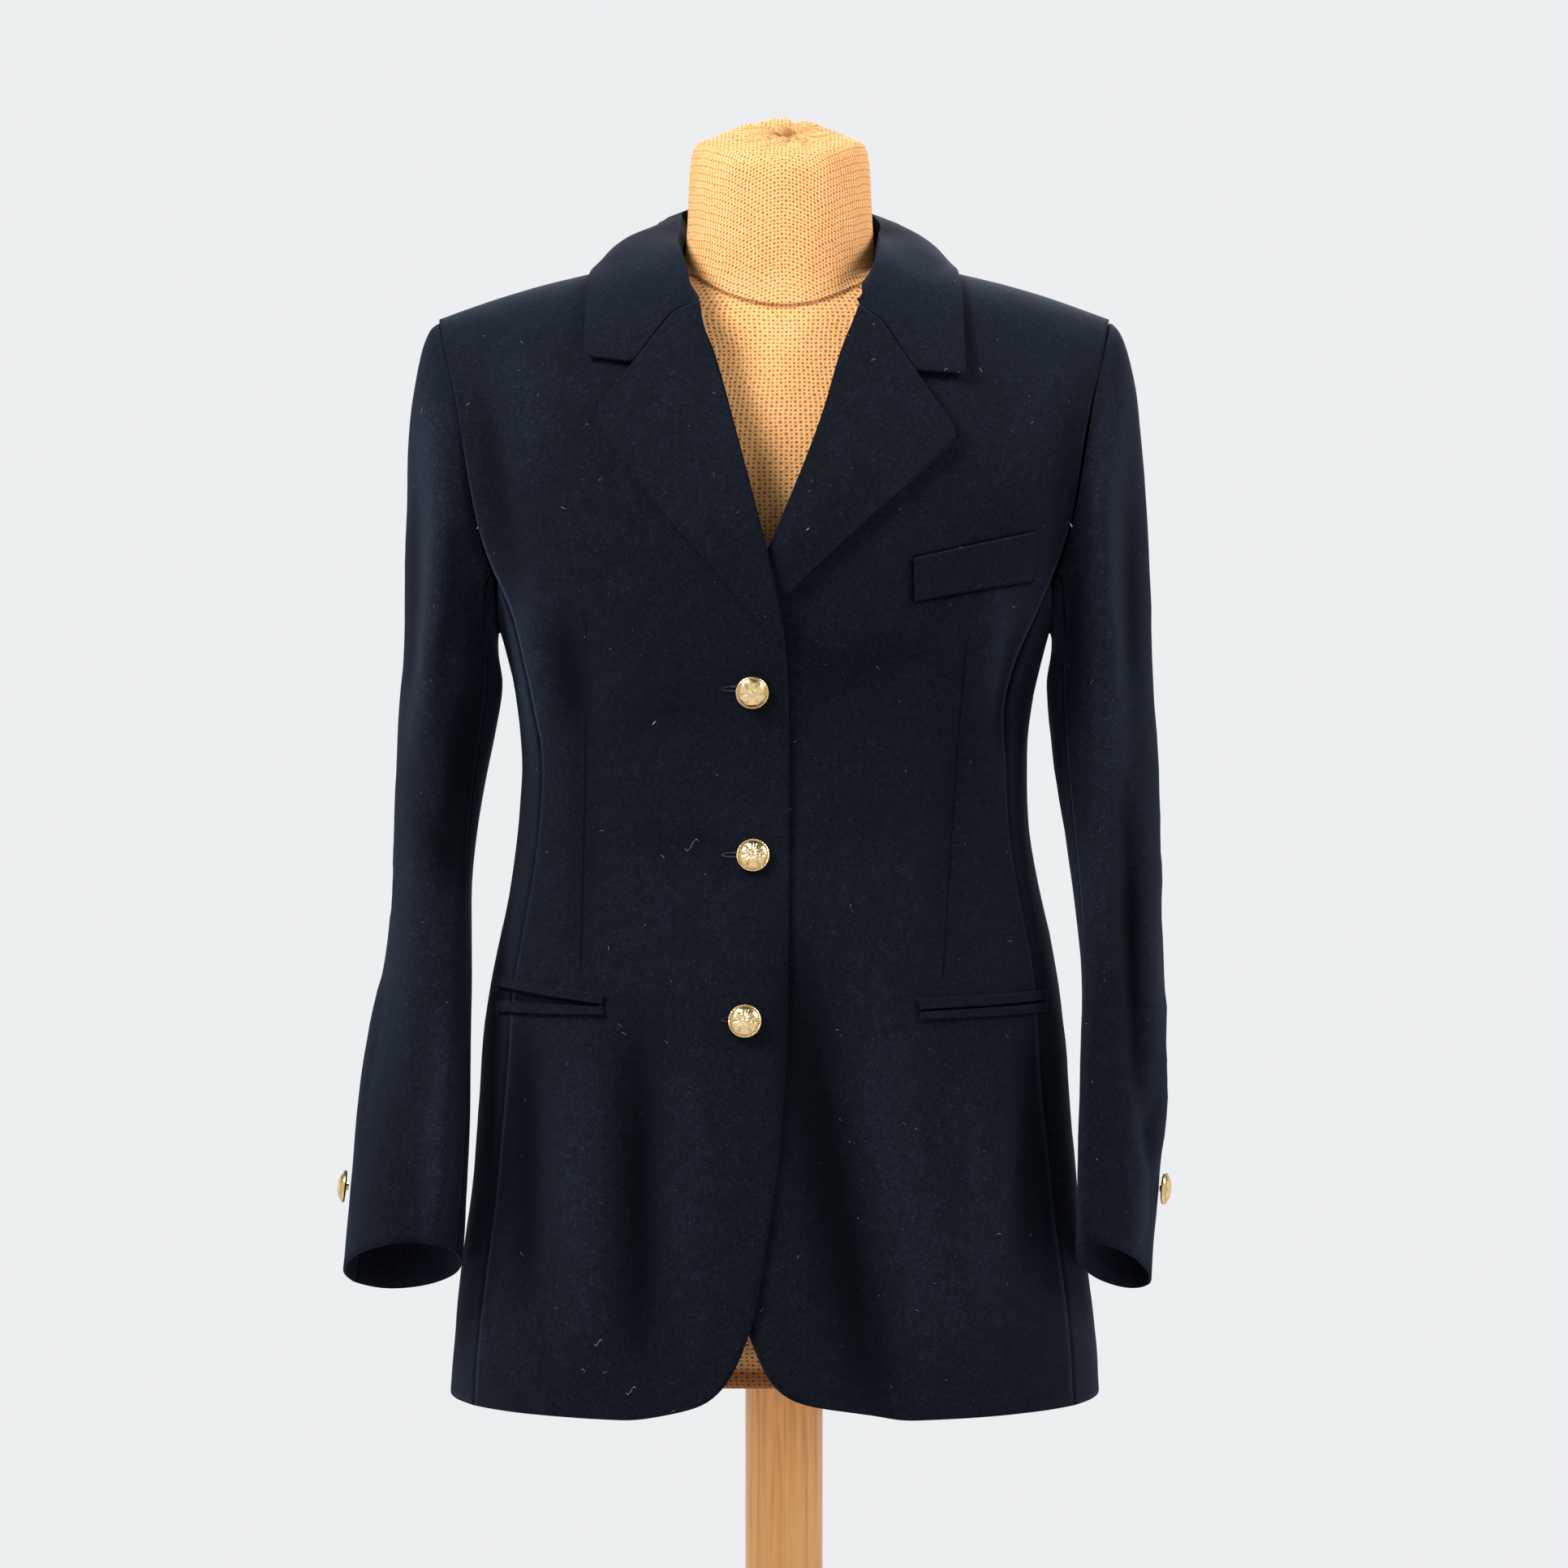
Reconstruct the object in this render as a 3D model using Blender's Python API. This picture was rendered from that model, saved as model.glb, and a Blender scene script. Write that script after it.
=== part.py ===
"""A wool blazer with notched lapels, buttoned on a limbless dress form on a pole.

The coat faces -Y, its wearer's left is +X, and the floor is Z = 0.
"""
import math

import bpy
from mathutils import Vector

# Driving sizes in metres
WAIST_HEIGHT = 0.900        # the waist line above the floor, which the tables count from
COAT_CENTRE = -0.006        # the coat hangs a little to its right on the form
CLOTH = 0.0017              # wall of the melton cloth
GAP = 0.0003                # clearance between pieces that meet
HEM = -0.383                # hem below the waist line
CHEST = 0.170               # height where the shoulders start to arch over
RIDGE_Y = 0.005             # the shoulder seam lies a little behind the middle
SIDE_SEAM_TURN = 28.0       # half the side panel's width, in degrees round the body
UNDERARM = 0.095            # bottom of the armhole over the waist line
UNDERARM_RISE = 0.030       # how far the armhole climbs across the side panel
BACK_NECK_RADIUS = 0.0745   # round neckline of the back, under the collar
BACK_NECK_HEIGHT = 0.328
LAP_RISE = 0.0026           # the over front stands off the under front by this
LAPEL_CROSSING_RISE = 0.0062  # and by this where it crosses the left lapel

BUTTON_RADIUS = 0.0103
BUTTON_SIDES = 16
FORM_SIDES = 32
POLE_RADIUS = 0.0245
BASE_RADIUS = 0.180
BASE_HEIGHT = 0.028
FORM_FLOOR = -0.370         # underside of the form below the waist line

# Body sections: height over the waist, half width, front depth, back depth, squareness
BODY = (
    (-0.400, 0.2070, 0.1500, 0.1300, 2.30),
    (-0.340, 0.2030, 0.1480, 0.1290, 2.30),
    (-0.280, 0.1950, 0.1450, 0.1270, 2.30),
    (-0.210, 0.1880, 0.1420, 0.1240, 2.30),
    (-0.130, 0.1820, 0.1360, 0.1170, 2.30),
    (-0.060, 0.1665, 0.1230, 0.0980, 2.30),
    (0.000, 0.1600, 0.1150, 0.0870, 2.30),
    (0.050, 0.1620, 0.1240, 0.0890, 2.30),
    (0.090, 0.1720, 0.1340, 0.0960, 2.35),
    (0.125, 0.1900, 0.1380, 0.1010, 2.40),
    (0.160, 0.2100, 0.1380, 0.1060, 2.45),
    (0.200, 0.2240, 0.1330, 0.1080, 2.50),
    (0.250, 0.2360, 0.1240, 0.1040, 2.50),
    (0.360, 0.2460, 0.1150, 0.0980, 2.50),
)
# Shoulder line: distance from the centre, height
SHOULDER = ((0.000, 0.366), (0.060, 0.346), (0.100, 0.328), (0.140, 0.318), (0.170, 0.3095),
            (0.200, 0.2995), (0.2125, 0.2950), (0.250, 0.2830))
# Armhole seam on front and back: height, distance from the centre
ARMHOLE = ((0.125, 0.1720), (0.140, 0.1790), (0.180, 0.1875), (0.215, 0.1925), (0.240, 0.1970),
           (0.262, 0.2030), (0.280, 0.2080), (0.295, 0.2125))
# Over front's edge, then its roll line: height, place across
EDGE_OVER = (
    (-0.3830, -0.0900), (-0.3800, -0.0740), (-0.3765, -0.0590), (-0.3720, -0.0455), (-0.3600, -0.0335),
    (-0.3450, -0.0262), (-0.3250, -0.0185), (-0.2900, -0.0122), (-0.2430, -0.0054), (-0.1950, 0.0000),
    (-0.1500, 0.0022), (-0.0400, 0.0030), (0.0470, 0.0030), (0.0864, 0.0010), (0.1152, -0.0039),
    (0.1405, -0.0098), (0.1790, -0.0200), (0.2290, -0.0328), (0.2765, -0.0461), (0.2900, -0.0535),
    (0.3010, -0.0610), (0.3140, -0.0730), (0.3350, -0.0890), (0.3700, -0.0900),
)
# Under front's edge, then its roll line: height, place across
EDGE_UNDER = (
    (-0.3830, 0.0700), (-0.3790, 0.0520), (-0.3755, 0.0260), (-0.3720, 0.0050), (-0.3600, -0.0085),
    (-0.3450, -0.0156), (-0.3250, -0.0240), (-0.2900, -0.0290), (-0.2430, -0.0300), (0.0864, -0.0300),
    (0.1152, -0.0230), (0.1405, -0.0098), (0.1610, -0.0005), (0.1920, 0.0113), (0.2290, 0.0254),
    (0.2730, 0.0402), (0.2860, 0.0470), (0.3010, 0.0560), (0.3140, 0.0650), (0.3350, 0.0790),
    (0.3700, 0.0800),
)
# Rows of the body panels: heights below the chest, then shares of the shoulder arch
HEM_ROWS = (HEM, -0.3800, -0.3765, -0.3720, -0.3600, -0.3450, -0.3250)
LOWER_ROWS = (-0.290, -0.243, -0.195, -0.150, -0.105, -0.060, -0.020, 0.020, 0.055, 0.0864, 0.1152,
              0.1405)
ARCH_ROWS = (0.0, 0.12, 0.24, 0.36, 0.48, 0.60, 0.72, 0.84, 0.93, 1.0)


def smooth(t):
    t = min(1.0, max(0.0, t))
    return t * t * (3.0 - 2.0 * t)


def mix(a, b, t):
    return a + (b - a) * t


def read(rows, at, column=1):
    """Value of one column at a height, on a soft curve through the table's rows."""
    last = len(rows) - 1
    if at <= rows[0][0]:
        return rows[0][column]
    if at >= rows[last][0]:
        return rows[last][column]
    k = max(i for i in range(last) if rows[i][0] <= at)
    span = rows[k + 1][0] - rows[k][0]
    t = (at - rows[k][0]) / span

    def slope(i):
        low, high = max(i - 1, 0), min(i + 1, last)
        return (rows[high][column] - rows[low][column]) / (rows[high][0] - rows[low][0]) * span

    a, b = rows[k][column], rows[k + 1][column]
    return (a * (2 * t ** 3 - 3 * t ** 2 + 1) + slope(k) * (t ** 3 - 2 * t ** 2 + t)
            + b * (3 * t ** 2 - 2 * t ** 3) + slope(k + 1) * (t ** 3 - t ** 2))


def along(points, t):
    """Point at share t of a polyline given as (share, x, z) rows."""
    for (t0, *a), (t1, *b) in zip(points, points[1:]):
        if t <= t1:
            return tuple(mix(p, q, (t - t0) / (t1 - t0)) for p, q in zip(a, b))
    return tuple(points[-1][1:])


def finish(colour, roughness, metallic=0.0):
    return {"colour": colour, "roughness": roughness, "metallic": metallic}


WOOL = finish((0.008, 0.012, 0.024), 0.95)
GOLD = finish((0.80, 0.52, 0.16), 0.28, 1.0)
BURLAP = finish((0.60, 0.36, 0.13), 0.95)
WOOD = finish((0.68, 0.40, 0.17), 0.50)


def material(name, look):
    made = bpy.data.materials.new(name)
    made.use_nodes = True
    shader = made.node_tree.nodes["Principled BSDF"]
    shader.inputs["Base Color"].default_value = (*look["colour"], 1.0)
    shader.inputs["Roughness"].default_value = look["roughness"]
    shader.inputs["Metallic"].default_value = look["metallic"]
    return made


def add_object(name, verts, faces, look):
    mesh = bpy.data.meshes.new(name)
    mesh.from_pydata([tuple(v) for v in verts], [], faces)
    mesh.validate()
    mesh.shade_smooth()
    mesh.set_sharp_from_angle(angle=math.radians(40))
    mesh.materials.append(material(name + "_finish", look))
    made = bpy.data.objects.new(name, mesh)
    made.location.z = WAIST_HEIGHT
    bpy.context.scene.collection.objects.link(made)
    return made


def wall(name, outer, inner, look, closed=False):
    """A closed cloth wall between two grids of points, rows by columns, open or round a tube."""
    rows, cols = len(outer), len(outer[0])
    verts = [p for row in outer for p in row] + [p for row in inner for p in row]
    half = rows * cols
    faces = []
    spans = cols if closed else cols - 1
    for i in range(rows - 1):
        for j in range(spans):
            k = (j + 1) % cols
            a, b, c, d = i * cols + j, i * cols + k, (i + 1) * cols + k, (i + 1) * cols + j
            faces += [(a, b, c, d), (half + d, half + c, half + b, half + a)]
    for j in range(spans):
        k = (j + 1) % cols
        top = (rows - 1) * cols
        faces += [(j, half + j, half + k, k), (top + k, half + top + k, half + top + j, top + j)]
    if not closed:
        for i in range(rows - 1):
            a, b = i * cols, (i + 1) * cols
            c, d = a + cols - 1, b + cols - 1
            faces += [(b, half + b, half + a, a), (c, half + c, half + d, d)]
    return add_object(name, verts, faces, look)


def sheet(name, point, rows, cols, thickness=CLOTH, lift=0.0, flip=False, look=WOOL):
    """A cloth wall over point(row, column), which gives a place and the outward normal."""
    outer, inner = [], []
    for r in rows:
        made = [point(r, c) for c in cols]
        if flip:
            made.reverse()
        outer.append([p + n * lift for p, n in made])
        inner.append([p + n * (lift - thickness) for p, n in made])
    return wall(name, outer, inner, look)


def shoulder_top(x):
    return read(SHOULDER, abs(x))


def height_at(x, row):
    """Height of a row: plain below the chest, on the arch above it."""
    if row <= 0.0:
        return CHEST + row
    return CHEST + (shoulder_top(x) - CHEST) * math.sin(row * math.pi / 2)


def ring_depth(x, z, face):
    """Depth of the plain body section, before (face -1) or behind (face 1) the middle."""
    half = read(BODY, z)
    n = read(BODY, z, 4)
    depth = read(BODY, z, 2 if face < 0 else 3)
    return face * depth * max(0.0, 1.0 - (abs(x) / half) ** n) ** (1.0 / n)


def body_depth(x, z, face):
    """Depth of the coat's outer surface, with the shoulders arched over."""
    ring = ring_depth(x, z, face)
    if z <= CHEST:
        return ring
    t = min(1.0, (z - CHEST) / (shoulder_top(x) - CHEST))
    arch = max(0.0, 1.0 - t ** 2.6) ** (1.0 / 2.2)
    return mix(RIDGE_Y, ring, arch)


def body_place(x, row, face):
    z = height_at(x, row)
    return Vector((x, body_depth(x, z, face), z))


def body_point(x, row, face):
    """Place on the coat's outer surface, with its outward normal; x counts from the coat's centre."""
    step = 0.0006
    row = min(row, 0.996)
    here = body_place(x, row, face)
    across = body_place(x + step, row, face) - body_place(x - step, row, face)
    rise = step if row < 0 else step * 6
    up = body_place(x, row + rise, face) - body_place(x, row - rise, face)
    normal = across.cross(up).normalized()
    if normal.y * face < 0:
        normal.negate()
    return Vector((here.x + COAT_CENTRE, here.y, here.z)), normal


def front_at(x, z, lift=0.0):
    """Place on the front at a real place across and height, moved out by lift."""
    x -= COAT_CENTRE
    row = z - CHEST
    if row > 0:
        share = min(0.999, row / (shoulder_top(x) - CHEST))
        row = math.asin(share) / (math.pi / 2)
    place, normal = body_point(x, row, -1)
    return place + normal * lift


def side_angle(x, z):
    """Turn round the body, in degrees from the side, of a distance from the centre."""
    half, n = read(BODY, z), read(BODY, z, 4)
    return 90.0 - math.degrees(math.asin(min(1.0, (abs(x) / half) ** (n / 2))))


def seam_x(z):
    """Distance from the centre of the side panel's seams."""
    half, n = read(BODY, z), read(BODY, z, 4)
    return half * math.cos(math.radians(SIDE_SEAM_TURN)) ** (2.0 / n)


def outer_x(z):
    """Distance from the centre of the front's or back's outer edge: side seam, then armhole."""
    return seam_x(z) if z < UNDERARM + UNDERARM_RISE else read(ARMHOLE, z)


def panel_rows(with_hem_corner):
    low = HEM_ROWS if with_hem_corner else (HEM, -0.3650, -0.3250)
    return [z - CHEST for z in low + LOWER_ROWS] + list(ARCH_ROWS)


def front_panel(name, hand, edge, lap):
    """One front from its edge or roll line to the side seam and armhole; hand -1 is the wearer's right."""
    cols = [i / 10 for i in range(11)]

    def point(row, u):
        x = hand * 0.1
        for _ in range(4):
            z = height_at(x, row)
            inner = hand * (read(edge, z) - COAT_CENTRE)
            outer = outer_x(z) - GAP / 2
            share = 1.0 - (1.0 - u) ** 1.25
            x = hand * mix(inner, outer, share)
        place, normal = body_point(x, row, -1)
        return place + normal * lap(place.x, place.z), normal

    return sheet(name, point, panel_rows(True), cols, flip=hand < 0)


def over_lap(x, z):
    """Rise of the over front near the middle, more where it crosses the other lapel."""
    near = 1.0 - smooth((-0.020 - x) / 0.050)
    crossing = smooth((z - 0.050) / 0.045) * (1.0 - smooth((z - 0.175) / 0.05))
    full = mix(LAP_RISE, LAPEL_CROSSING_RISE, crossing)
    return full * near * (1.0 - smooth((z - 0.175) / 0.06))


def no_lap(x, z):
    return 0.0


def neck_row(x):
    """Highest row of the back at a distance from the centre, on the round neckline."""
    open_back = math.sqrt(max(0.0, BACK_NECK_RADIUS ** 2 - x * x))
    ring = ring_depth(x, BACK_NECK_HEIGHT, 1)
    arch = min(1.0, max(0.0, (open_back - RIDGE_Y) / (ring - RIDGE_Y)))
    return math.asin((1.0 - arch ** 2.2) ** (1.0 / 2.6)) / (math.pi / 2)


def back_panel(name, hand):
    """One back from the centre seam to the side seam and armhole."""
    cols = [i / 9 for i in range(10)]

    def point(row, u):
        x = hand * 0.1
        for _ in range(4):
            x_share = u ** 0.97
            shown = row * neck_row(x) if row > 0 else row
            z = height_at(x, shown)
            x = hand * mix(GAP / 2, outer_x(z) - GAP / 2, x_share)
        return body_point(x, shown, 1)

    return sheet(name, point, panel_rows(False), cols, flip=hand > 0)


def side_panel(name, hand):
    """The narrow panel under the arm, round the side of the body."""
    cols = [i / 6 for i in range(7)]
    rows = (HEM, -0.3650, -0.3250) + LOWER_ROWS[:10]

    def place(z, u):
        half, n = read(BODY, z), read(BODY, z, 4)
        edge = side_angle(seam_x(z) + GAP / 2, z)
        turn = math.radians(mix(-edge, edge, u))
        x = half * math.cos(turn) ** (2.0 / n)
        face = -1 if turn < 0 else 1
        depth = read(BODY, z, 2 if face < 0 else 3)
        y = face * depth * abs(math.sin(turn)) ** (2.0 / n)
        return Vector((hand * x + COAT_CENTRE, y, z))

    def point(k, u):
        top = UNDERARM + UNDERARM_RISE * (2 * u - 1) ** 2
        z = rows[k]
        if k >= len(rows) - 4:
            z = mix(rows[-5], top, (k - len(rows) + 5) / 4)
        if u in (0.0, 1.0):
            face = -1 if u == 0.0 else 1
            return body_point(hand * (seam_x(z) + GAP / 2), z - CHEST, face)
        here = place(z, u)
        across = place(z, u + 0.01) - place(z, u - 0.01)
        up = place(z + 0.001, u) - place(z - 0.001, u)
        normal = across.cross(up).normalized()
        if normal.x * hand < 0:
            normal.negate()
        return here, normal

    return sheet(name, point, range(len(rows)), cols, flip=hand < 0)


# Lapels: share from the break up, place across, height
ROLL_OVER = ((0.00, -0.0010, 0.0900), (0.12, -0.0045, 0.1120), (0.25, -0.0110, 0.1400),
             (0.45, -0.0208, 0.1790), (0.70, -0.0336, 0.2290), (1.00, -0.0520, 0.2918))
EDGE_OVER_LAPEL = ((0.00, -0.0045, 0.0860), (0.12, -0.0150, 0.0990), (0.30, -0.0390, 0.1270),
                   (0.55, -0.0740, 0.1660), (0.80, -0.1050, 0.2080), (0.94, -0.1122, 0.2200),
                   (1.00, -0.1122, 0.2275))
TOP_OVER_LAPEL = ((0.00, -0.0520, 0.2918), (0.22, -0.0664, 0.2876), (0.66, -0.0910, 0.2556),
                  (0.80, -0.1010, 0.2410), (1.00, -0.1122, 0.2275))
ROLL_UNDER = ((0.00, -0.0180, 0.1100), (0.12, -0.0110, 0.1360), (0.25, -0.0035, 0.1560),
              (0.45, 0.0100, 0.1880), (0.70, 0.0260, 0.2310), (1.00, 0.0455, 0.2880))
EDGE_UNDER_LAPEL = ((0.00, -0.0140, 0.1030), (0.12, 0.0020, 0.1140), (0.30, 0.0250, 0.1365),
                    (0.55, 0.0575, 0.1660), (0.80, 0.0910, 0.1960), (0.94, 0.1028, 0.2080),
                    (1.00, 0.1028, 0.2160))
TOP_UNDER_LAPEL = ((0.00, 0.0456, 0.2893), (0.22, 0.0594, 0.2823), (0.66, 0.0797, 0.2498),
                   (0.80, 0.0880, 0.2350), (1.00, 0.1028, 0.2160))
LAPEL_ROLL_BULGE = 0.0030
COLLAR_LIFT = 0.0033        # the collar's and lapels' outer side over the front, at the gorge


def lapel(name, hand, roll, edge, top, base_lift):
    """The turned-back facing, from its roll line to its outer edge, over the front."""
    cols = [0.0, 0.06, 0.14, 0.22, 0.36, 0.50, 0.66, 0.80, 1.0]

    def place(t, w, lift):
        t, w = min(1.0, max(0.0, t)), min(1.0, max(0.0, w))
        inner, outer = along(roll, t), along(edge, t)
        end = along(top, w)
        straight = [mix(along(roll, 1.0)[k], along(edge, 1.0)[k], w) for k in (0, 1)]
        pull = smooth((t - 0.55) / 0.45)
        x, z = (mix(inner[k], outer[k], w) + (end[k] - straight[k]) * pull for k in (0, 1))
        return front_at(x, z, lift)

    def point(t, w):
        bulge = LAPEL_ROLL_BULGE * math.sin(math.pi * min(1.0, w * 1.2)) * smooth(t / 0.25)
        bulge *= 1.0 - smooth((t - 0.75) / 0.22)
        lift = mix(base_lift(t) + CLOTH + bulge, COLLAR_LIFT, smooth((t - 0.6) / 0.35))
        here = place(t, w, lift)
        normal = (place(t, w, lift + 0.001) - here).normalized()
        return here, normal

    rows = [0.0, 0.06, 0.12, 0.2, 0.3, 0.4, 0.5, 0.6, 0.7, 0.8, 0.88, 0.94, 1.0]
    return sheet(name, point, rows, cols, flip=hand < 0)


def over_lapel_lift(t):
    """The over lapel follows the over front's own rise."""
    x, z = along(ROLL_OVER, t)
    return over_lap(x, z) + 0.0008


def under_lapel_lift(t):
    return 0.0006


# Collar, from the back of the neck round to its front end: share, place across, place back, height
COLLAR_ROLL = ((0.00, 0.0000, 0.0760, 0.3820), (0.20, 0.0350, 0.0660, 0.3780),
               (0.40, 0.0600, 0.0350, 0.3680), (0.55, 0.0680, 0.0000, 0.3540),
               (0.70, 0.0660, -0.0380, 0.3340), (0.82, 0.0590, -0.0680, 0.3140),
               (1.00, 0.0480, -0.0950, 0.2955))
COLLAR_FOOT = ((0.00, 0.0000, 0.0740, 0.3290), (0.20, 0.0350, 0.0655, 0.3300),
               (0.40, 0.0610, 0.0380, 0.3380), (0.55, 0.0700, 0.0000, 0.3470),
               (0.70, 0.0675, -0.0360, 0.3280), (0.82, 0.0610, -0.0660, 0.3100),
               (1.00, 0.0500, -0.0930, 0.2940))
COLLAR_EDGE = ((0.00, 0.0000, 0.1110, 0.3290), (0.20, 0.0580, 0.0980, 0.3310),
               (0.40, 0.1010, 0.0480, 0.3390), (0.55, 0.1110, 0.0050, 0.3330),
               (0.70, 0.1125, -0.0400, 0.3130), (0.82, 0.1150, -0.0680, 0.2880),
               (1.00, 0.1180, -0.0900, 0.2650))
# Collar's front end, from the roll down the gorge seam to the notch, then to the tip
COLLAR_END = {
    -1: ((0.00, 0.0472, 0.2938), (0.22, 0.0612, 0.2886), (0.70, 0.0855, 0.2562), (1.00, 0.1135, 0.2600)),
    1: ((0.00, 0.0522, 0.2900), (0.22, 0.0660, 0.2830), (0.70, 0.0862, 0.2505), (1.00, 0.1156, 0.2490)),
}
STAND_INSET = 0.0042        # the stand's foot passes inside the coat's neckline


def curve(rows, at):
    return Vector([read(rows, at, k) for k in (1, 2, 3)])


def clear_of_coat(p, lift):
    """The place moved out along the coat's normal until it is lift over the coat."""
    x = p.x - COAT_CENTRE
    face = -1 if p.y < RIDGE_Y else 1
    rows = [i / 40 for i in range(41)]
    row = min(rows, key=lambda r: (body_place(x, min(r, 0.996), face) - (p - Vector((COAT_CENTRE, 0, 0)))).length)
    place, normal = body_point(x, row, face)
    height = (p - place).dot(normal)
    return p + normal * (lift - height) if height < lift else p


def collar():
    """The collar's fall round the neck, folded over a short stand, one piece from tip to tip."""
    shares = (0.0, 0.1, 0.2, 0.3, 0.4, 0.48, 0.55, 0.62, 0.70, 0.76, 0.82, 0.87, 0.91, 0.94, 0.97, 1.0)
    stations = list(reversed(shares[1:])) + [-s for s in shares]
    widths = (0.0, 0.1, 0.22, 0.36, 0.5, 0.7, 0.85, 1.0)

    def fall(s, w):
        hand, t = (-1 if s < 0 else 1), abs(s)
        roll, edge = curve(COLLAR_ROLL, t), curve(COLLAR_EDGE, t)
        p = roll.lerp(edge, w)
        out = Vector((p.x, p.y + 0.01, 0.06)).normalized()
        p += out * 0.007 * math.sin(math.pi * w) * (1.0 - smooth((t - 0.6) / 0.2))
        pull = smooth((t - 0.70) / 0.30)
        if pull > 0.0:
            end = along(COLLAR_END[hand], w)
            line = roll.lerp(edge, w)
            x, z = mix(line.x, end[0], pull), mix(line.z, end[1], pull)
            x0 = hand * x + COAT_CENTRE
            laid = front_at(x0, z, COLLAR_LIFT)
            share = smooth((t - 0.66) / 0.16)
            laid = Vector(((laid.x - COAT_CENTRE) * hand, laid.y, laid.z))
            p = Vector((x, p.y, z)).lerp(laid, share)
        return clear_of_coat(Vector((hand * p.x + COAT_CENTRE, p.y, p.z)), COLLAR_LIFT)

    def section(s):
        """Outer and inner points of one section, the stand's foot first."""
        hand, t = (-1 if s < 0 else 1), abs(s)
        foot, roll = curve(COLLAR_FOOT, t), curve(COLLAR_ROLL, t)
        outer, inner = [], []
        fade = 1.0 - smooth((t - 0.62) / 0.30)
        middle = roll.lerp(foot, 0.5 * fade + 0.02)
        low = roll.lerp(foot, fade + 0.04)
        toward = Vector((-hand * roll.x, -roll.y, 0.0))
        toward = toward.normalized() if toward.length > 0.001 else Vector((0, -1, 0))
        for p, inset in ((low, STAND_INSET), (middle, STAND_INSET / 2)):
            q = Vector((hand * p.x + COAT_CENTRE, p.y, p.z)) + toward * inset
            q.z += 0.0020 * (1.0 - fade)
            outer.append(q)
            inner.append(q - toward * CLOTH)
        step = 0.004
        for w in widths:
            here = fall(s, w)
            w0, w1 = max(0.0, w - step), min(1.0, w + step)
            across = fall(s, w1) - fall(s, w0)
            s0, s1 = max(-1.0, s - step), min(1.0, s + step)
            round_neck = fall(s1, w) - fall(s0, w)
            normal = across.cross(round_neck).normalized()
            if normal.z < 0:
                normal.negate()
            if t == 1.0:
                x, z = along(COLLAR_END[hand], w)
                x = hand * x + COAT_CENTRE
                normal = (front_at(x, z, 0.001) - front_at(x, z)).normalized()
            elif w == 0.0:
                normal = (normal + toward + Vector((0, 0, 0.6))).normalized()
            outer.append(here)
            inner.append(here - normal * CLOTH)
        return outer, inner

    made = [section(s) for s in stations]
    return wall("collar", [o for o, _ in made], [i for _, i in made], WOOL)


# Sleeves: height, outer edge across, inner edge across, middle's place back, half depth, turn inwards
SLEEVE_RIGHT = (
    (-0.300, 0.2760, 0.1990, -0.0520, 0.0520, 22.0),
    (-0.245, 0.2710, 0.1950, -0.0500, 0.0530, 22.0),
    (-0.195, 0.2655, 0.1945, -0.0440, 0.0550, 22.0),
    (-0.150, 0.2580, 0.1940, -0.0360, 0.0570, 20.0),
    (-0.110, 0.2520, 0.1935, -0.0290, 0.0580, 17.0),
    (-0.060, 0.2490, 0.1945, -0.0210, 0.0590, 13.0),
    (-0.020, 0.2485, 0.1905, -0.0150, 0.0600, 10.0),
    (0.020, 0.2465, 0.1835, -0.0100, 0.0610, 8.0),
    (0.060, 0.2440, 0.1765, -0.0060, 0.0620, 6.0),
)
SLEEVE_LEFT = (
    (-0.300, 0.2310, 0.1790, -0.0560, 0.0510, 22.0),
    (-0.245, 0.2350, 0.1800, -0.0520, 0.0530, 22.0),
    (-0.195, 0.2400, 0.1815, -0.0460, 0.0550, 22.0),
    (-0.150, 0.2410, 0.1835, -0.0380, 0.0570, 20.0),
    (-0.110, 0.2412, 0.1855, -0.0300, 0.0580, 17.0),
    (-0.060, 0.2405, 0.1810, -0.0220, 0.0590, 13.0),
    (-0.020, 0.2400, 0.1735, -0.0150, 0.0600, 10.0),
    (0.020, 0.2375, 0.1680, -0.0100, 0.0610, 8.0),
    (0.060, 0.2345, 0.1655, -0.0060, 0.0620, 6.0),
)
CUFF_TILT = 0.40            # the cuff's front edge stands higher than its back
CUFF_TOP = -0.245
SEAM_TO_HEAD = 0.0004
FRONT_SEAM_TURN = 128.0
BACK_SEAM_TURN = (-104.0, -58.0)
HEAD_SHARES = (0.0, 0.06, 0.14, 0.24, 0.36, 0.50, 0.66, 0.82)
ARM_HEIGHTS = (0.060, 0.020, -0.020, -0.060, -0.110, -0.150, -0.195, -0.245, -0.270, -0.300)


def armhole_half(face):
    """Half of the armhole edge as on the right, from the shoulder to the underarm, with its lengths."""
    points = []
    top, corner = shoulder_top(0.2125) - 0.0004, UNDERARM + UNDERARM_RISE
    for i in range(25):
        z = mix(top, corner, 1.0 - math.cos(i / 24 * math.pi / 2))
        x = read(ARMHOLE, z)
        points.append(Vector((x, body_depth(x, z, face), z)))
    for i in range(1, 11):
        u = i / 10
        z = UNDERARM + UNDERARM_RISE * (1.0 - u) ** 2
        half, n = read(BODY, z), read(BODY, z, 4)
        round_body = math.radians(SIDE_SEAM_TURN * (1.0 - u))
        x = half * math.cos(round_body) ** (2.0 / n)
        depth = read(BODY, z, 2 if face < 0 else 3)
        points.append(Vector((x, face * depth * math.sin(round_body) ** (2.0 / n), z)))
    lengths = [0.0]
    for a, b in zip(points, points[1:]):
        lengths.append(lengths[-1] + (b - a).length)
    return points, [reach / lengths[-1] for reach in lengths]


ARMHOLE_HALVES = {face: armhole_half(face) for face in (-1, 1)}


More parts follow.
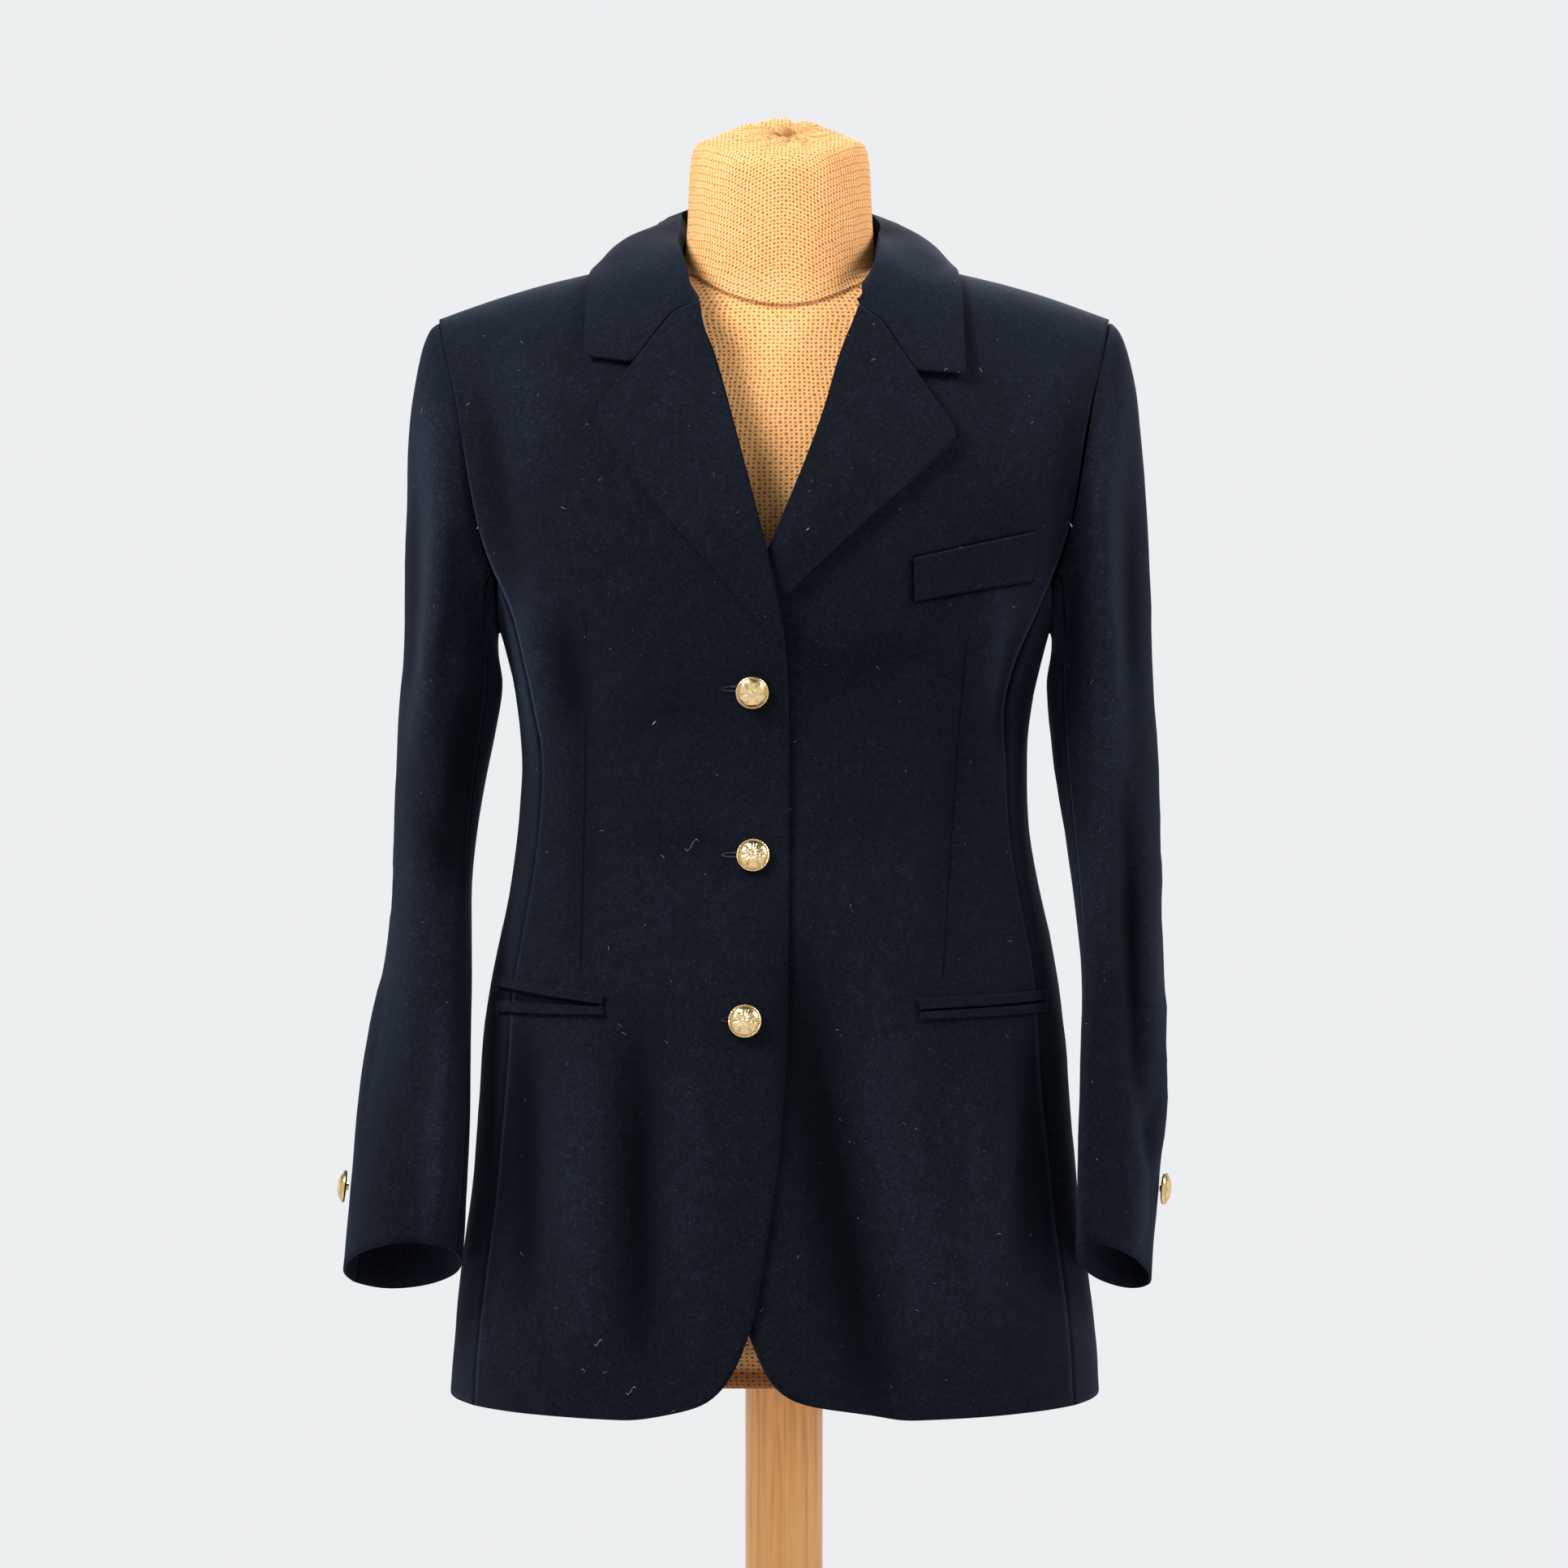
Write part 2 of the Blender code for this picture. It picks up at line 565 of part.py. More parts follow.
def armhole_place(turn):
    """Place on the armhole edge, as if on the right; 0 at the shoulder, 90 in front, 180 below."""
    turn = (turn + 180.0) % 360.0 - 180.0
    points, lengths = ARMHOLE_HALVES[-1 if turn >= 0 else 1]
    share = abs(turn) / 180.0
    k = max(i for i in range(len(lengths) - 1) if lengths[i] <= share)
    return points[k].lerp(points[k + 1], (share - lengths[k]) / (lengths[k + 1] - lengths[k]))


def sleeve_ring(table, hand, z, turn):
    outer, inner = read(table, z, 1), read(table, z, 2)
    back, deep = read(table, z, 3), read(table, z, 4)
    twist = math.radians(read(table, z, 5))
    extent = (outer - inner) / 2
    across = math.sqrt(max(0.018 ** 2, extent ** 2 - (deep * math.sin(twist)) ** 2)) / math.cos(twist)
    a = math.radians(turn)
    u, v = across * math.cos(a), deep * math.sin(a)
    x = (outer + inner) / 2 + u * math.cos(twist) - v * math.sin(twist)
    y = back - v * math.cos(twist) - u * math.sin(twist)
    tilt = CUFF_TILT * smooth((CUFF_TOP + 0.06 - z) / 0.115)
    return Vector((hand * x, y, z - tilt * (y - back)))


def sleeve_place(table, hand, k, turn):
    """Place on the sleeve: k runs down the head's rows, then down the arm."""
    heads = len(HEAD_SHARES)
    if k >= heads:
        return sleeve_ring(table, hand, ARM_HEIGHTS[k - heads], turn)
    t = HEAD_SHARES[k]
    start = armhole_place(turn)
    begin = Vector((hand * (start.x + SEAM_TO_HEAD) + COAT_CENTRE, start.y, start.z))
    end = sleeve_ring(table, hand, ARM_HEIGHTS[0], turn)
    fall = max(0.02, begin.z - end.z)
    a = math.radians(turn)
    crown = max(0.0, math.cos(a))
    leave = Vector((hand * (0.020 + 0.045 * crown), -0.030 * math.sin(a), -0.10 * fall * (1 - crown)))
    arrive = Vector((0.0, 0.0, -1.15 * fall))
    p = (begin * (2 * t ** 3 - 3 * t ** 2 + 1) + leave * (t ** 3 - 2 * t ** 2 + t)
         + end * (3 * t ** 2 - 2 * t ** 3) + arrive * (t ** 3 - t ** 2))
    return p


def sleeve(name, hand, table, under):
    """One of a sleeve's two pieces, between its front and back seams."""
    count = len(HEAD_SHARES) + len(ARM_HEIGHTS)
    spans = 9 if under else 15

    def turn_at(k, u, gap=math.degrees(GAP / 2 / 0.019)):
        back = mix(*BACK_SEAM_TURN, k / (count - 1))
        if under:
            return mix(FRONT_SEAM_TURN + gap, back + 360.0 - gap, u)
        return mix(back + gap, FRONT_SEAM_TURN - gap, u)

    outer, inner = [], []
    for k in range(count):
        out_row, in_row = [], []
        for j in range(spans + 1):
            turn = turn_at(k, j / spans)
            here = sleeve_place(table, hand, k, turn)
            turn = turn_at(k, j / spans, 0.0)
            round_arm = sleeve_place(table, hand, k, turn + 2) - sleeve_place(table, hand, k, turn - 2)
            k0, k1 = max(0, k - 1), min(count - 1, k + 1)
            down = sleeve_place(table, hand, k1, turn) - sleeve_place(table, hand, k0, turn)
            normal = round_arm.cross(down).normalized() * hand
            out_row.append(here)
            in_row.append(here - normal * CLOTH)
        outer.append(out_row if hand > 0 else out_row[::-1])
        inner.append(in_row if hand > 0 else in_row[::-1])
    return wall(name, outer, inner, WOOL)


# Pockets: corners as (across, height), lower inner, lower outer, upper outer, upper inner
BREAST_WELT = ((0.0790, 0.1105), (0.1545, 0.1255), (0.1548, 0.1545), (0.0782, 0.1365))
JETS = {
    "jet_left_upper": ((0.0825, -0.1365), (0.1620, -0.1335), (0.1620, -0.1275), (0.0812, -0.1300)),
    "jet_left_lower": ((0.0812, -0.1425), (0.1620, -0.1410), (0.1620, -0.1350), (0.0825, -0.1378)),
    "jet_right_upper": ((-0.1100, -0.1335), (-0.1780, -0.1255), (-0.1780, -0.1195), (-0.1090, -0.1275)),
    "jet_right_lower": ((-0.1090, -0.1400), (-0.1780, -0.1410), (-0.1780, -0.1350), (-0.1100, -0.1348)),
}
WELT_CLOTH = 0.0013
WELT_REST = 0.0008          # clear of the flats between the panel's points
JET_REST = 0.0003


def patch(name, corners, rest, cols, rows):
    """A thin strip laid on the front between four corners."""
    low0, low1, top1, top0 = corners

    def place(v, u, lift):
        x = mix(mix(low0[0], low1[0], u), mix(top0[0], top1[0], u), v)
        z = mix(mix(low0[1], low1[1], u), mix(top0[1], top1[1], u), v)
        return front_at(x, z, lift)

    def point(v, u):
        lift = rest + WELT_CLOTH
        here = place(v, u, lift)
        return here, (place(v, u, lift + 0.001) - here).normalized()

    shares = [i / cols for i in range(cols + 1)]
    levels = [i / rows for i in range(rows + 1)]
    return sheet(name, point, levels, shares, thickness=WELT_CLOTH, flip=low1[0] < low0[0])


# Buttons: share of the radius, height over the cloth
BUTTON_PROFILE = ((0.22, 0.0000), (0.22, 0.0015), (0.90, 0.0018), (1.00, 0.0026), (0.98, 0.0034),
                  (0.86, 0.0038), (0.80, 0.0034), (0.62, 0.0050), (0.35, 0.0060))
BUTTON_CROWN = 0.0064
FRONT_BUTTONS = ((-0.0190, 0.0565), (-0.0186, -0.0440), (-0.0234, -0.1430))


def button(name, place, normal):
    """A domed metal button on a short shank, standing off the cloth along its normal."""
    side = normal.orthogonal().normalized()
    other = normal.cross(side)
    verts, faces = [], []
    for radius, height in BUTTON_PROFILE:
        for j in range(BUTTON_SIDES):
            a = 2 * math.pi * j / BUTTON_SIDES
            round_axis = side * math.cos(a) + other * math.sin(a)
            verts.append(place + round_axis * BUTTON_RADIUS * radius + normal * (GAP + height))
    for i in range(len(BUTTON_PROFILE) - 1):
        for j in range(BUTTON_SIDES):
            k = (j + 1) % BUTTON_SIDES
            a, b = i * BUTTON_SIDES, (i + 1) * BUTTON_SIDES
            faces.append((a + j, a + k, b + k, b + j))
    foot, crown = len(verts), len(verts) + 1
    verts += [place + normal * GAP, place + normal * (GAP + BUTTON_CROWN)]
    last = (len(BUTTON_PROFILE) - 1) * BUTTON_SIDES
    for j in range(BUTTON_SIDES):
        k = (j + 1) % BUTTON_SIDES
        faces += [(foot, k, j), (crown, last + j, last + k)]
    return add_object(name, verts, faces, GOLD)


def front_buttons():
    for number, (x, z) in enumerate(FRONT_BUTTONS, 1):
        place = front_at(x, z, 0.0)
        normal = (front_at(x, z, 0.001) - place).normalized()
        rise = over_lap(x, z)
        button(f"button_front_{number}", place + normal * rise, normal)


CUFF_BUTTON_TURN = -22.0
CUFF_BUTTON_HEIGHT = -0.250


def cuff_button(name, hand, table):
    """The cuff's one button, on the upper sleeve beside the back seam."""
    z, turn = CUFF_BUTTON_HEIGHT, CUFF_BUTTON_TURN
    here = sleeve_ring(table, hand, z, turn)
    round_arm = sleeve_ring(table, hand, z, turn + 2) - sleeve_ring(table, hand, z, turn - 2)
    down = sleeve_ring(table, hand, z - 0.004, turn) - sleeve_ring(table, hand, z + 0.004, turn)
    normal = round_arm.cross(down).normalized() * hand
    button(name, here + normal * 0.0004, normal)


# Dress form: height at the side, at the front, at the back, half width, front depth, back depth
FORM = (
    (-0.3700, -0.3700, -0.3700, 0.1620, 0.1080, 0.0930),
    (-0.3640, -0.3640, -0.3640, 0.1680, 0.1140, 0.0990),
    (-0.3000, -0.3000, -0.3000, 0.1740, 0.1180, 0.1050),
    (-0.2000, -0.2000, -0.2000, 0.1680, 0.1180, 0.1080),
    (-0.1000, -0.1000, -0.1000, 0.1530, 0.1080, 0.0940),
    (-0.0200, -0.0200, -0.0200, 0.1380, 0.0920, 0.0700),
    (0.0300, 0.0300, 0.0300, 0.1400, 0.0960, 0.0720),
    (0.0900, 0.0900, 0.0900, 0.1480, 0.1120, 0.0800),
    (0.1500, 0.1500, 0.1500, 0.1600, 0.1170, 0.0870),
    (0.2000, 0.1950, 0.2000, 0.1740, 0.1120, 0.0900),
    (0.2420, 0.2280, 0.2380, 0.1850, 0.1020, 0.0860),
    (0.2720, 0.2520, 0.2640, 0.1880, 0.0900, 0.0780),
    (0.2940, 0.2680, 0.2820, 0.1770, 0.0800, 0.0720),
    (0.3084, 0.2800, 0.2950, 0.1540, 0.0740, 0.0690),
    (0.3187, 0.2870, 0.3050, 0.1240, 0.0700, 0.0670),
    (0.3245, 0.2915, 0.3120, 0.0920, 0.0670, 0.0650),
    (0.3290, 0.2945, 0.3180, 0.0700, 0.0650, 0.0635),
    (0.3330, 0.2970, 0.3240, 0.0615, 0.0635, 0.0620),
    (0.3440, 0.3120, 0.3400, 0.0592, 0.0605, 0.0600),
    (0.3650, 0.3450, 0.3700, 0.0580, 0.0590, 0.0585),
    (0.3950, 0.3760, 0.4100, 0.0566, 0.0570, 0.0570),
    (0.4040, 0.3860, 0.4220, 0.0545, 0.0550, 0.0550),
    (0.4090, 0.3920, 0.4280, 0.0500, 0.0500, 0.0500),
    (0.4115, 0.3990, 0.4270, 0.0330, 0.0330, 0.0330),
    (0.4110, 0.4060, 0.4180, 0.0120, 0.0120, 0.0120),
)
FORM_CENTRE = -0.0025
FORM_SQUARENESS = 2.2


def dress_form():
    """The padded torso with its neck and gathered cap, one smooth closed body."""
    verts, faces = [], []
    for side, front, back, half, deep_front, deep_back in FORM:
        for j in range(FORM_SIDES):
            a = 2 * math.pi * j / FORM_SIDES
            c, s = math.cos(a), math.sin(a)
            n = FORM_SQUARENESS if half > 0.065 else 2.0
            x = math.copysign(abs(c) ** (2 / n), c) * half
            y = math.copysign(abs(s) ** (2 / n), s) * (deep_back if s > 0 else deep_front)
            toward = front if s < 0 else back
            z = mix(side, toward, abs(s) ** 1.6)
            verts.append(Vector((x + FORM_CENTRE, y, z)))
    rings = len(FORM)
    for i in range(rings - 1):
        for j in range(FORM_SIDES):
            k = (j + 1) % FORM_SIDES
            a, b = i * FORM_SIDES, (i + 1) * FORM_SIDES
            faces.append((a + j, a + k, b + k, b + j))
    foot, crown = len(verts), len(verts) + 1
    top = verts[-FORM_SIDES:]
    verts += [Vector((FORM_CENTRE, 0.0, FORM[0][0])), sum(top, Vector()) / FORM_SIDES]
    last = (rings - 1) * FORM_SIDES
    for j in range(FORM_SIDES):
        k = (j + 1) % FORM_SIDES
        faces += [(foot, k, j), (crown, last + j, last + k)]
    return add_object("dress_form", verts, faces, BURLAP)


def turned(name, profile, sides, look):
    """A round closed body about the pole's axis, from (radius, height over the floor) rows."""
    verts, faces = [], []
    for radius, height in profile:
        for j in range(sides):
            a = 2 * math.pi * j / sides
            verts.append(Vector((radius * math.cos(a), radius * math.sin(a), height - WAIST_HEIGHT)))
    for i in range(len(profile) - 1):
        for j in range(sides):
            k = (j + 1) % sides
            a, b = i * sides, (i + 1) * sides
            faces.append((a + j, a + k, b + k, b + j))
    faces.append(tuple(reversed(range(sides))))
    faces.append(tuple(range((len(profile) - 1) * sides, len(profile) * sides)))
    return add_object(name, verts, faces, look)


def stand():
    edge = 0.006
    turned("base", ((BASE_RADIUS - 0.002, 0.0), (BASE_RADIUS, 0.002), (BASE_RADIUS, BASE_HEIGHT - edge),
                    (BASE_RADIUS - 0.002, BASE_HEIGHT - 0.002), (BASE_RADIUS - edge, BASE_HEIGHT)), 48, WOOD)
    turned("pole", ((POLE_RADIUS, BASE_HEIGHT + GAP),
                    (POLE_RADIUS, WAIST_HEIGHT + FORM_FLOOR - GAP)), 32, WOOD)


def main():
    for old in list(bpy.data.objects):
        bpy.data.objects.remove(old, do_unlink=True)
    front_panel("front_right", -1, EDGE_OVER, over_lap)
    front_panel("front_left", 1, EDGE_UNDER, no_lap)
    for hand, word in ((-1, "right"), (1, "left")):
        side_panel("side_" + word, hand)
        back_panel("back_" + word, hand)
        table = SLEEVE_RIGHT if hand < 0 else SLEEVE_LEFT
        sleeve("sleeve_upper_" + word, hand, table, under=False)
        sleeve("sleeve_under_" + word, hand, table, under=True)
        cuff_button("button_cuff_" + word, hand, table)
    lapel("lapel_right", -1, ROLL_OVER, EDGE_OVER_LAPEL, TOP_OVER_LAPEL, over_lapel_lift)
    lapel("lapel_left", 1, ROLL_UNDER, EDGE_UNDER_LAPEL, TOP_UNDER_LAPEL, under_lapel_lift)
    collar()
    patch("breast_welt", BREAST_WELT, WELT_REST, 8, 2)
    for name, corners in JETS.items():
        patch(name, corners, JET_REST, 10, 1)
    front_buttons()
    dress_form()
    stand()


main()
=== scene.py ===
import math
import random

import bmesh
import bpy
import numpy
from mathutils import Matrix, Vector, noise
from mathutils.bvhtree import BVHTree


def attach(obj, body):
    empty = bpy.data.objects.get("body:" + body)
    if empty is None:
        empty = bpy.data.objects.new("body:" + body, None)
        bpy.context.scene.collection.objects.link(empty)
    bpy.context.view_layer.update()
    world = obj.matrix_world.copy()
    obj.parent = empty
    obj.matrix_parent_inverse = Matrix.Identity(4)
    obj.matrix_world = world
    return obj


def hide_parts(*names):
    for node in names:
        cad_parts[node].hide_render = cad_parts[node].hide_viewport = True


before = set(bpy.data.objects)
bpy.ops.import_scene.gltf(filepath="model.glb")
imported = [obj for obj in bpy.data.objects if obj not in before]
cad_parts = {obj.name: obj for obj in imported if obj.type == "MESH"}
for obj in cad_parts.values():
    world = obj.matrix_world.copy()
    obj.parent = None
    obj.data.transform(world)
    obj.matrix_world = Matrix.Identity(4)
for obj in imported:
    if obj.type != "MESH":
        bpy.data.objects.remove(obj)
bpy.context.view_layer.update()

waist = 0.900          # the heights below count from the waist line, as the pattern does
millimetre = 0.001


def smooth(t):
    t = min(1.0, max(0.0, t))
    return t * t * (3.0 - 2.0 * t)


def mix(a, b, t):
    return a + (b - a) * t


def hexColour(text):
    # sRGB hex to linear
    parts = [int(text[i:i + 2], 16) / 255 for i in (1, 3, 5)]
    linear = [c / 12.92 if c <= 0.04045 else ((c + 0.055) / 1.055) ** 2.4 for c in parts]
    return (*linear, 1.0)


def addNode(tree, kind, settings=None, links=None, values=None):
    # settings are the node's own fields, values its sockets, links each socket's (node, output)
    made = tree.nodes.new(kind)
    for key, value in (settings or {}).items():
        setattr(made, key, value)
    for key, value in (values or {}).items():
        made.inputs[key].default_value = value
    for key, (source, output) in (links or {}).items():
        tree.links.new(source.outputs[output], made.inputs[key])
    return made


def newMaterial(name):
    material = bpy.data.materials.new(name)
    material.use_nodes = True
    tree = material.node_tree
    shader = tree.nodes["Principled BSDF"]
    return material, tree, shader


def colourRamp(tree, source, output, stops):
    ramp = addNode(tree, "ShaderNodeValToRGB", links={"Fac": (source, output)})
    elements = ramp.color_ramp.elements
    while len(elements) < len(stops):
        elements.new(0.5)
    for element, (place, colour) in zip(elements, stops):
        element.position = place
        element.color = hexColour(colour)
    return ramp


# Stage: pale floor, soft studio light, the picture's camera
stageSettings = {
    "floorColour": "#c6c8cc", "floorRadius": 1.55,
    "worldColour": "#eceef0", "worldStrength": 1.0,
    "skyColour": "#6e7278", "skyFrom": 0.24, "skyTo": 0.55,
    # lamps: place, size in metres, power in watts
    "lamps": {"key": ((-1.35, -1.05, 2.35), 0.8, 82.0), "fill": ((1.7, -0.75, 2.15), 0.8, 44.0),
              "rim": ((0.3, 2.0, 2.4), 1.4, 80.0)},
    "aimHeight": waist + 0.25, "cameraAway": 2.7, "cameraHeight": waist, "lens": 97.7, "sensor": 36.0,
}


def makeStage():
    s = stageSettings
    scene = bpy.context.scene
    scene.view_settings.view_transform = "Standard"
    world = bpy.data.worlds.new("studio")
    world.use_nodes = True
    background = world.node_tree.nodes["Background"]
    # pale all round at eye level, dimmer overhead, so that the lamps shape the cloth
    way = addNode(world.node_tree, "ShaderNodeTexCoord")
    parts = addNode(world.node_tree, "ShaderNodeSeparateXYZ", links={"Vector": (way, "Generated")})
    sky = colourRamp(world.node_tree, parts, "Z",
                     ((s["skyFrom"], s["worldColour"]), (s["skyTo"], s["skyColour"])))
    world.node_tree.links.new(sky.outputs["Color"], background.inputs["Color"])
    background.inputs["Strength"].default_value = s["worldStrength"]
    scene.world = world

    mesh = bpy.data.meshes.new("floor")
    shape = bmesh.new()
    bmesh.ops.create_circle(shape, cap_ends=True, segments=96, radius=s["floorRadius"])
    shape.to_mesh(mesh)
    shape.free()
    floor = bpy.data.objects.new("floor", mesh)
    floor.location.z = -0.5 * millimetre   # just under the base, so that the two faces don't flicker
    scene.collection.objects.link(floor)
    material, tree, shader = newMaterial("matt_painted_floor")   # even, no grain, a faint cool cast
    shader.inputs["Base Color"].default_value = hexColour(s["floorColour"])
    shader.inputs["Roughness"].default_value = 0.9
    mesh.materials.append(material)

    for name, (place, size, power) in s["lamps"].items():
        data = bpy.data.lights.new(name, "AREA")
        data.size = size
        data.energy = power
        light = bpy.data.objects.new(name, data)
        light.location = place
        aim = Vector((0.0, 0.0, s["aimHeight"])) - Vector(place)
        light.rotation_euler = aim.to_track_quat("-Z", "Y").to_euler()
        scene.collection.objects.link(light)

    data = bpy.data.cameras.new("camera")
    data.lens = s["lens"]
    data.sensor_width = s["sensor"]
    camera = bpy.data.objects.new("camera", data)
    camera.location = (0.0, -s["cameraAway"], s["cameraHeight"])
    camera.rotation_euler = (math.pi / 2, 0.0, 0.0)
    scene.collection.objects.link(camera)
    scene.camera = camera
    print("stage ready")


# Wool melton, fulled and brushed: no weave shows, a short cloudy nap and a cool bloom on the turns
woolSettings = {
    "dark": "#07090e", "mid": "#0a0d13", "light": "#12161f", "fibre": "#4a566b", "seamAndShadeTint": "#6a6e78",
    "roughness": 0.95, "specular": 0.03, "sheen": 0.12, "sheenRoughness": 0.55, "sheenTint": "#7488a6",
    "napMm": 1.1, "napShare": 0.72, "cloudMm": 5.0, "fibreMm": 0.55, "fibreShare": 0.30,
    # foldShadeStrength: how much painted light and shade the folds put into the wool's colour
    "bumpMm": 0.45, "bump": 0.55, "foldShadeStrength": 0.80, "lineMm": 0.55, "shadowLineMm": 1.0, "lineDip": -1.5,
    # dart seams, and painted shadow lines in the pocket mouths and round the breast welt: across and over the
    # waist at both ends, in metres
    "darts": ((-0.1205, 0.0995, -0.1240, -0.1140), (0.1107, 0.0813, 0.0965, -0.1170)),
    "shadowLines": ((0.0790, 0.1098, 0.1545, 0.1248), (0.0784, 0.1100, 0.0776, 0.1368),
               (0.1549, 0.1250, 0.1552, 0.1548), (0.0778, 0.1371, 0.1548, 0.1551),
               (0.0825, -0.1371, 0.1620, -0.1343), (-0.1120, -0.1343, -0.1780, -0.1285),
               (-0.1120, -0.1343, -0.1780, -0.1305), (-0.1120, -0.1343, -0.1780, -0.1325)),
}


def lineMask(tree, parts, line, halfWidth):
    # 1 on a straight line drawn on the coat's front, fading to 0 over halfWidth either side
    x0, z0, x1, z1 = line
    if abs(z1 - z0) > abs(x1 - x0):
        ends, slope, across, up = (z0 + waist, z1 + waist), (x1 - x0) / (z1 - z0), "X", "Z"
        start = x0 - slope * (z0 + waist)
    else:
        ends, slope, across, up = (x0, x1), (z1 - z0) / (x1 - x0), "Z", "X"
        start = z0 + waist - slope * x0
    on = addNode(tree, "ShaderNodeMath", settings={"operation": "MULTIPLY_ADD"},
                 values={1: slope, 2: start}, links={0: (parts, up)})
    away = addNode(tree, "ShaderNodeMath", settings={"operation": "SUBTRACT"},
                   links={0: (parts, across), 1: (on, "Value")})
    near = addNode(tree, "ShaderNodeMath", settings={"operation": "COMPARE"}, values={1: 0.0, 2: halfWidth},
                   links={0: (away, "Value")})
    middle, half = sum(ends) / 2, abs(ends[1] - ends[0]) / 2
    inside = addNode(tree, "ShaderNodeMath", settings={"operation": "COMPARE"}, values={1: middle, 2: half},
                     links={0: (parts, up)})
    front = addNode(tree, "ShaderNodeMath", settings={"operation": "LESS_THAN"}, values={1: 0.0},
                    links={0: (parts, "Y")})
    both = addNode(tree, "ShaderNodeMath", settings={"operation": "MULTIPLY"},
                   links={0: (near, "Value"), 1: (inside, "Value")})
    return addNode(tree, "ShaderNodeMath", settings={"operation": "MULTIPLY"},
                   links={0: (both, "Value"), 1: (front, "Value")})


def woolMaterial():
    s = woolSettings
    material, tree, shader = newMaterial("navy_wool_melton")
    place = addNode(tree, "ShaderNodeTexCoord")
    cloud = addNode(tree, "ShaderNodeTexNoise", values={"Scale": 1000 / s["cloudMm"] / 2, "Detail": 4.0,
                    "Roughness": 0.65}, links={"Vector": (place, "Object")})
    nap = addNode(tree, "ShaderNodeTexNoise", values={"Scale": 1000 / s["napMm"] / 2, "Detail": 3.0,
                  "Roughness": 0.7, "Distortion": 0.6}, links={"Vector": (place, "Object")})
    both = addNode(tree, "ShaderNodeMix", settings={"data_type": "FLOAT"}, values={"Factor": s["napShare"]},
                   links={"A": (cloud, "Fac"), "B": (nap, "Fac")})
    tones = colourRamp(tree, both, "Result", ((0.34, s["dark"]), (0.50, s["mid"]), (0.68, s["light"])))
    # single pale fibres caught in the nap
    fleck = addNode(tree, "ShaderNodeTexNoise", values={"Scale": 1000 / s["fibreMm"] / 2, "Detail": 1.0,
                    "Distortion": 1.5}, links={"Vector": (place, "Object")})
    fleckMask = colourRamp(tree, fleck, "Fac", ((0.70, "#000000"), (0.80, "#ffffff")))
    fleckShare = addNode(tree, "ShaderNodeMath", settings={"operation": "MULTIPLY"},
                         values={1: s["fibreShare"]}, links={0: (fleckMask, "Color")})
    colour = addNode(tree, "ShaderNodeMix", settings={"data_type": "RGBA"},
                     links={"Factor": (fleckShare, "Value"), "A": (tones, "Color")})
    colour.inputs["B"].default_value = hexColour(s["fibre"])
    parts = addNode(tree, "ShaderNodeSeparateXYZ", links={"Vector": (place, "Object")})
    lines = [(line, s["lineMm"]) for line in s["darts"]] + [(line, s["shadowLineMm"]) for line in s["shadowLines"]]
    masks = [lineMask(tree, parts, line, half * millimetre) for line, half in lines]
    seam = masks[0]
    for mask in masks[1:]:
        seam = addNode(tree, "ShaderNodeMath", settings={"operation": "MAXIMUM"},
                       links={0: (seam, "Value"), 1: (mask, "Value")})
    # darkens the dart seams, and paints shadow into the pocket mouths and along the breast welt's edges
    seamAndShadeTint = addNode(tree, "ShaderNodeMix", settings={"data_type": "RGBA", "blend_type": "MULTIPLY"},
                   links={"Factor": (seam, "Value"), "A": (colour, "Result")})
    seamAndShadeTint.inputs["B"].default_value = hexColour(s["seamAndShadeTint"])
    # painted light and shade: the base colour is lifted along the fold ridges and darkened in the troughs, by
    # each point's fold rise
    fold = addNode(tree, "ShaderNodeAttribute", settings={"attribute_name": "fold"})
    foldLightAndShade = addNode(tree, "ShaderNodeMath", settings={"operation": "MULTIPLY_ADD"},
                   values={1: s["foldShadeStrength"], 2: 1.0}, links={0: (fold, "Fac")})
    toned = addNode(tree, "ShaderNodeVectorMath", settings={"operation": "SCALE"},
                    links={0: (seamAndShadeTint, "Result"), "Scale": (foldLightAndShade, "Value")})
    tree.links.new(toned.outputs["Vector"], shader.inputs["Base Color"])
    dip = addNode(tree, "ShaderNodeMath", settings={"operation": "MULTIPLY_ADD"}, values={1: s["lineDip"]},
                  links={0: (seam, "Value"), 2: (both, "Result")})
    bump = addNode(tree, "ShaderNodeBump", links={"Height": (dip, "Value")},
                   values={"Strength": s["bump"], "Distance": s["bumpMm"] * millimetre})
    tree.links.new(bump.outputs["Normal"], shader.inputs["Normal"])
    shader.inputs["Roughness"].default_value = s["roughness"]
    shader.inputs["Specular IOR Level"].default_value = s["specular"]
    shader.inputs["Sheen Weight"].default_value = s["sheen"]
    shader.inputs["Sheen Roughness"].default_value = s["sheenRoughness"]
    shader.inputs["Sheen Tint"].default_value = hexColour(s["sheenTint"])
    return material


# Jute burlap, woven open and plain: round slubby threads over and under, with painted shade in the hollows
# between them, darkest at the pinholes
burlapSettings = {
    "light": "#dba873", "mid": "#cb9053", "dark": "#9d6537", "pinholeShade": "#7a4c28", "seam": "#8a6238",
    "threadMm": 2.55, "wanderMm": 14.3, "wanderBy": 0.0026, "slubMm": 3.03, "patchMm": 35.7,
    "slub": 0.45, "patch": 0.22, "over": 0.28, "weave": 0.72,
    "roughness": 0.92, "specular": 0.2, "bump": 0.8, "bumpMm": 0.9,
}


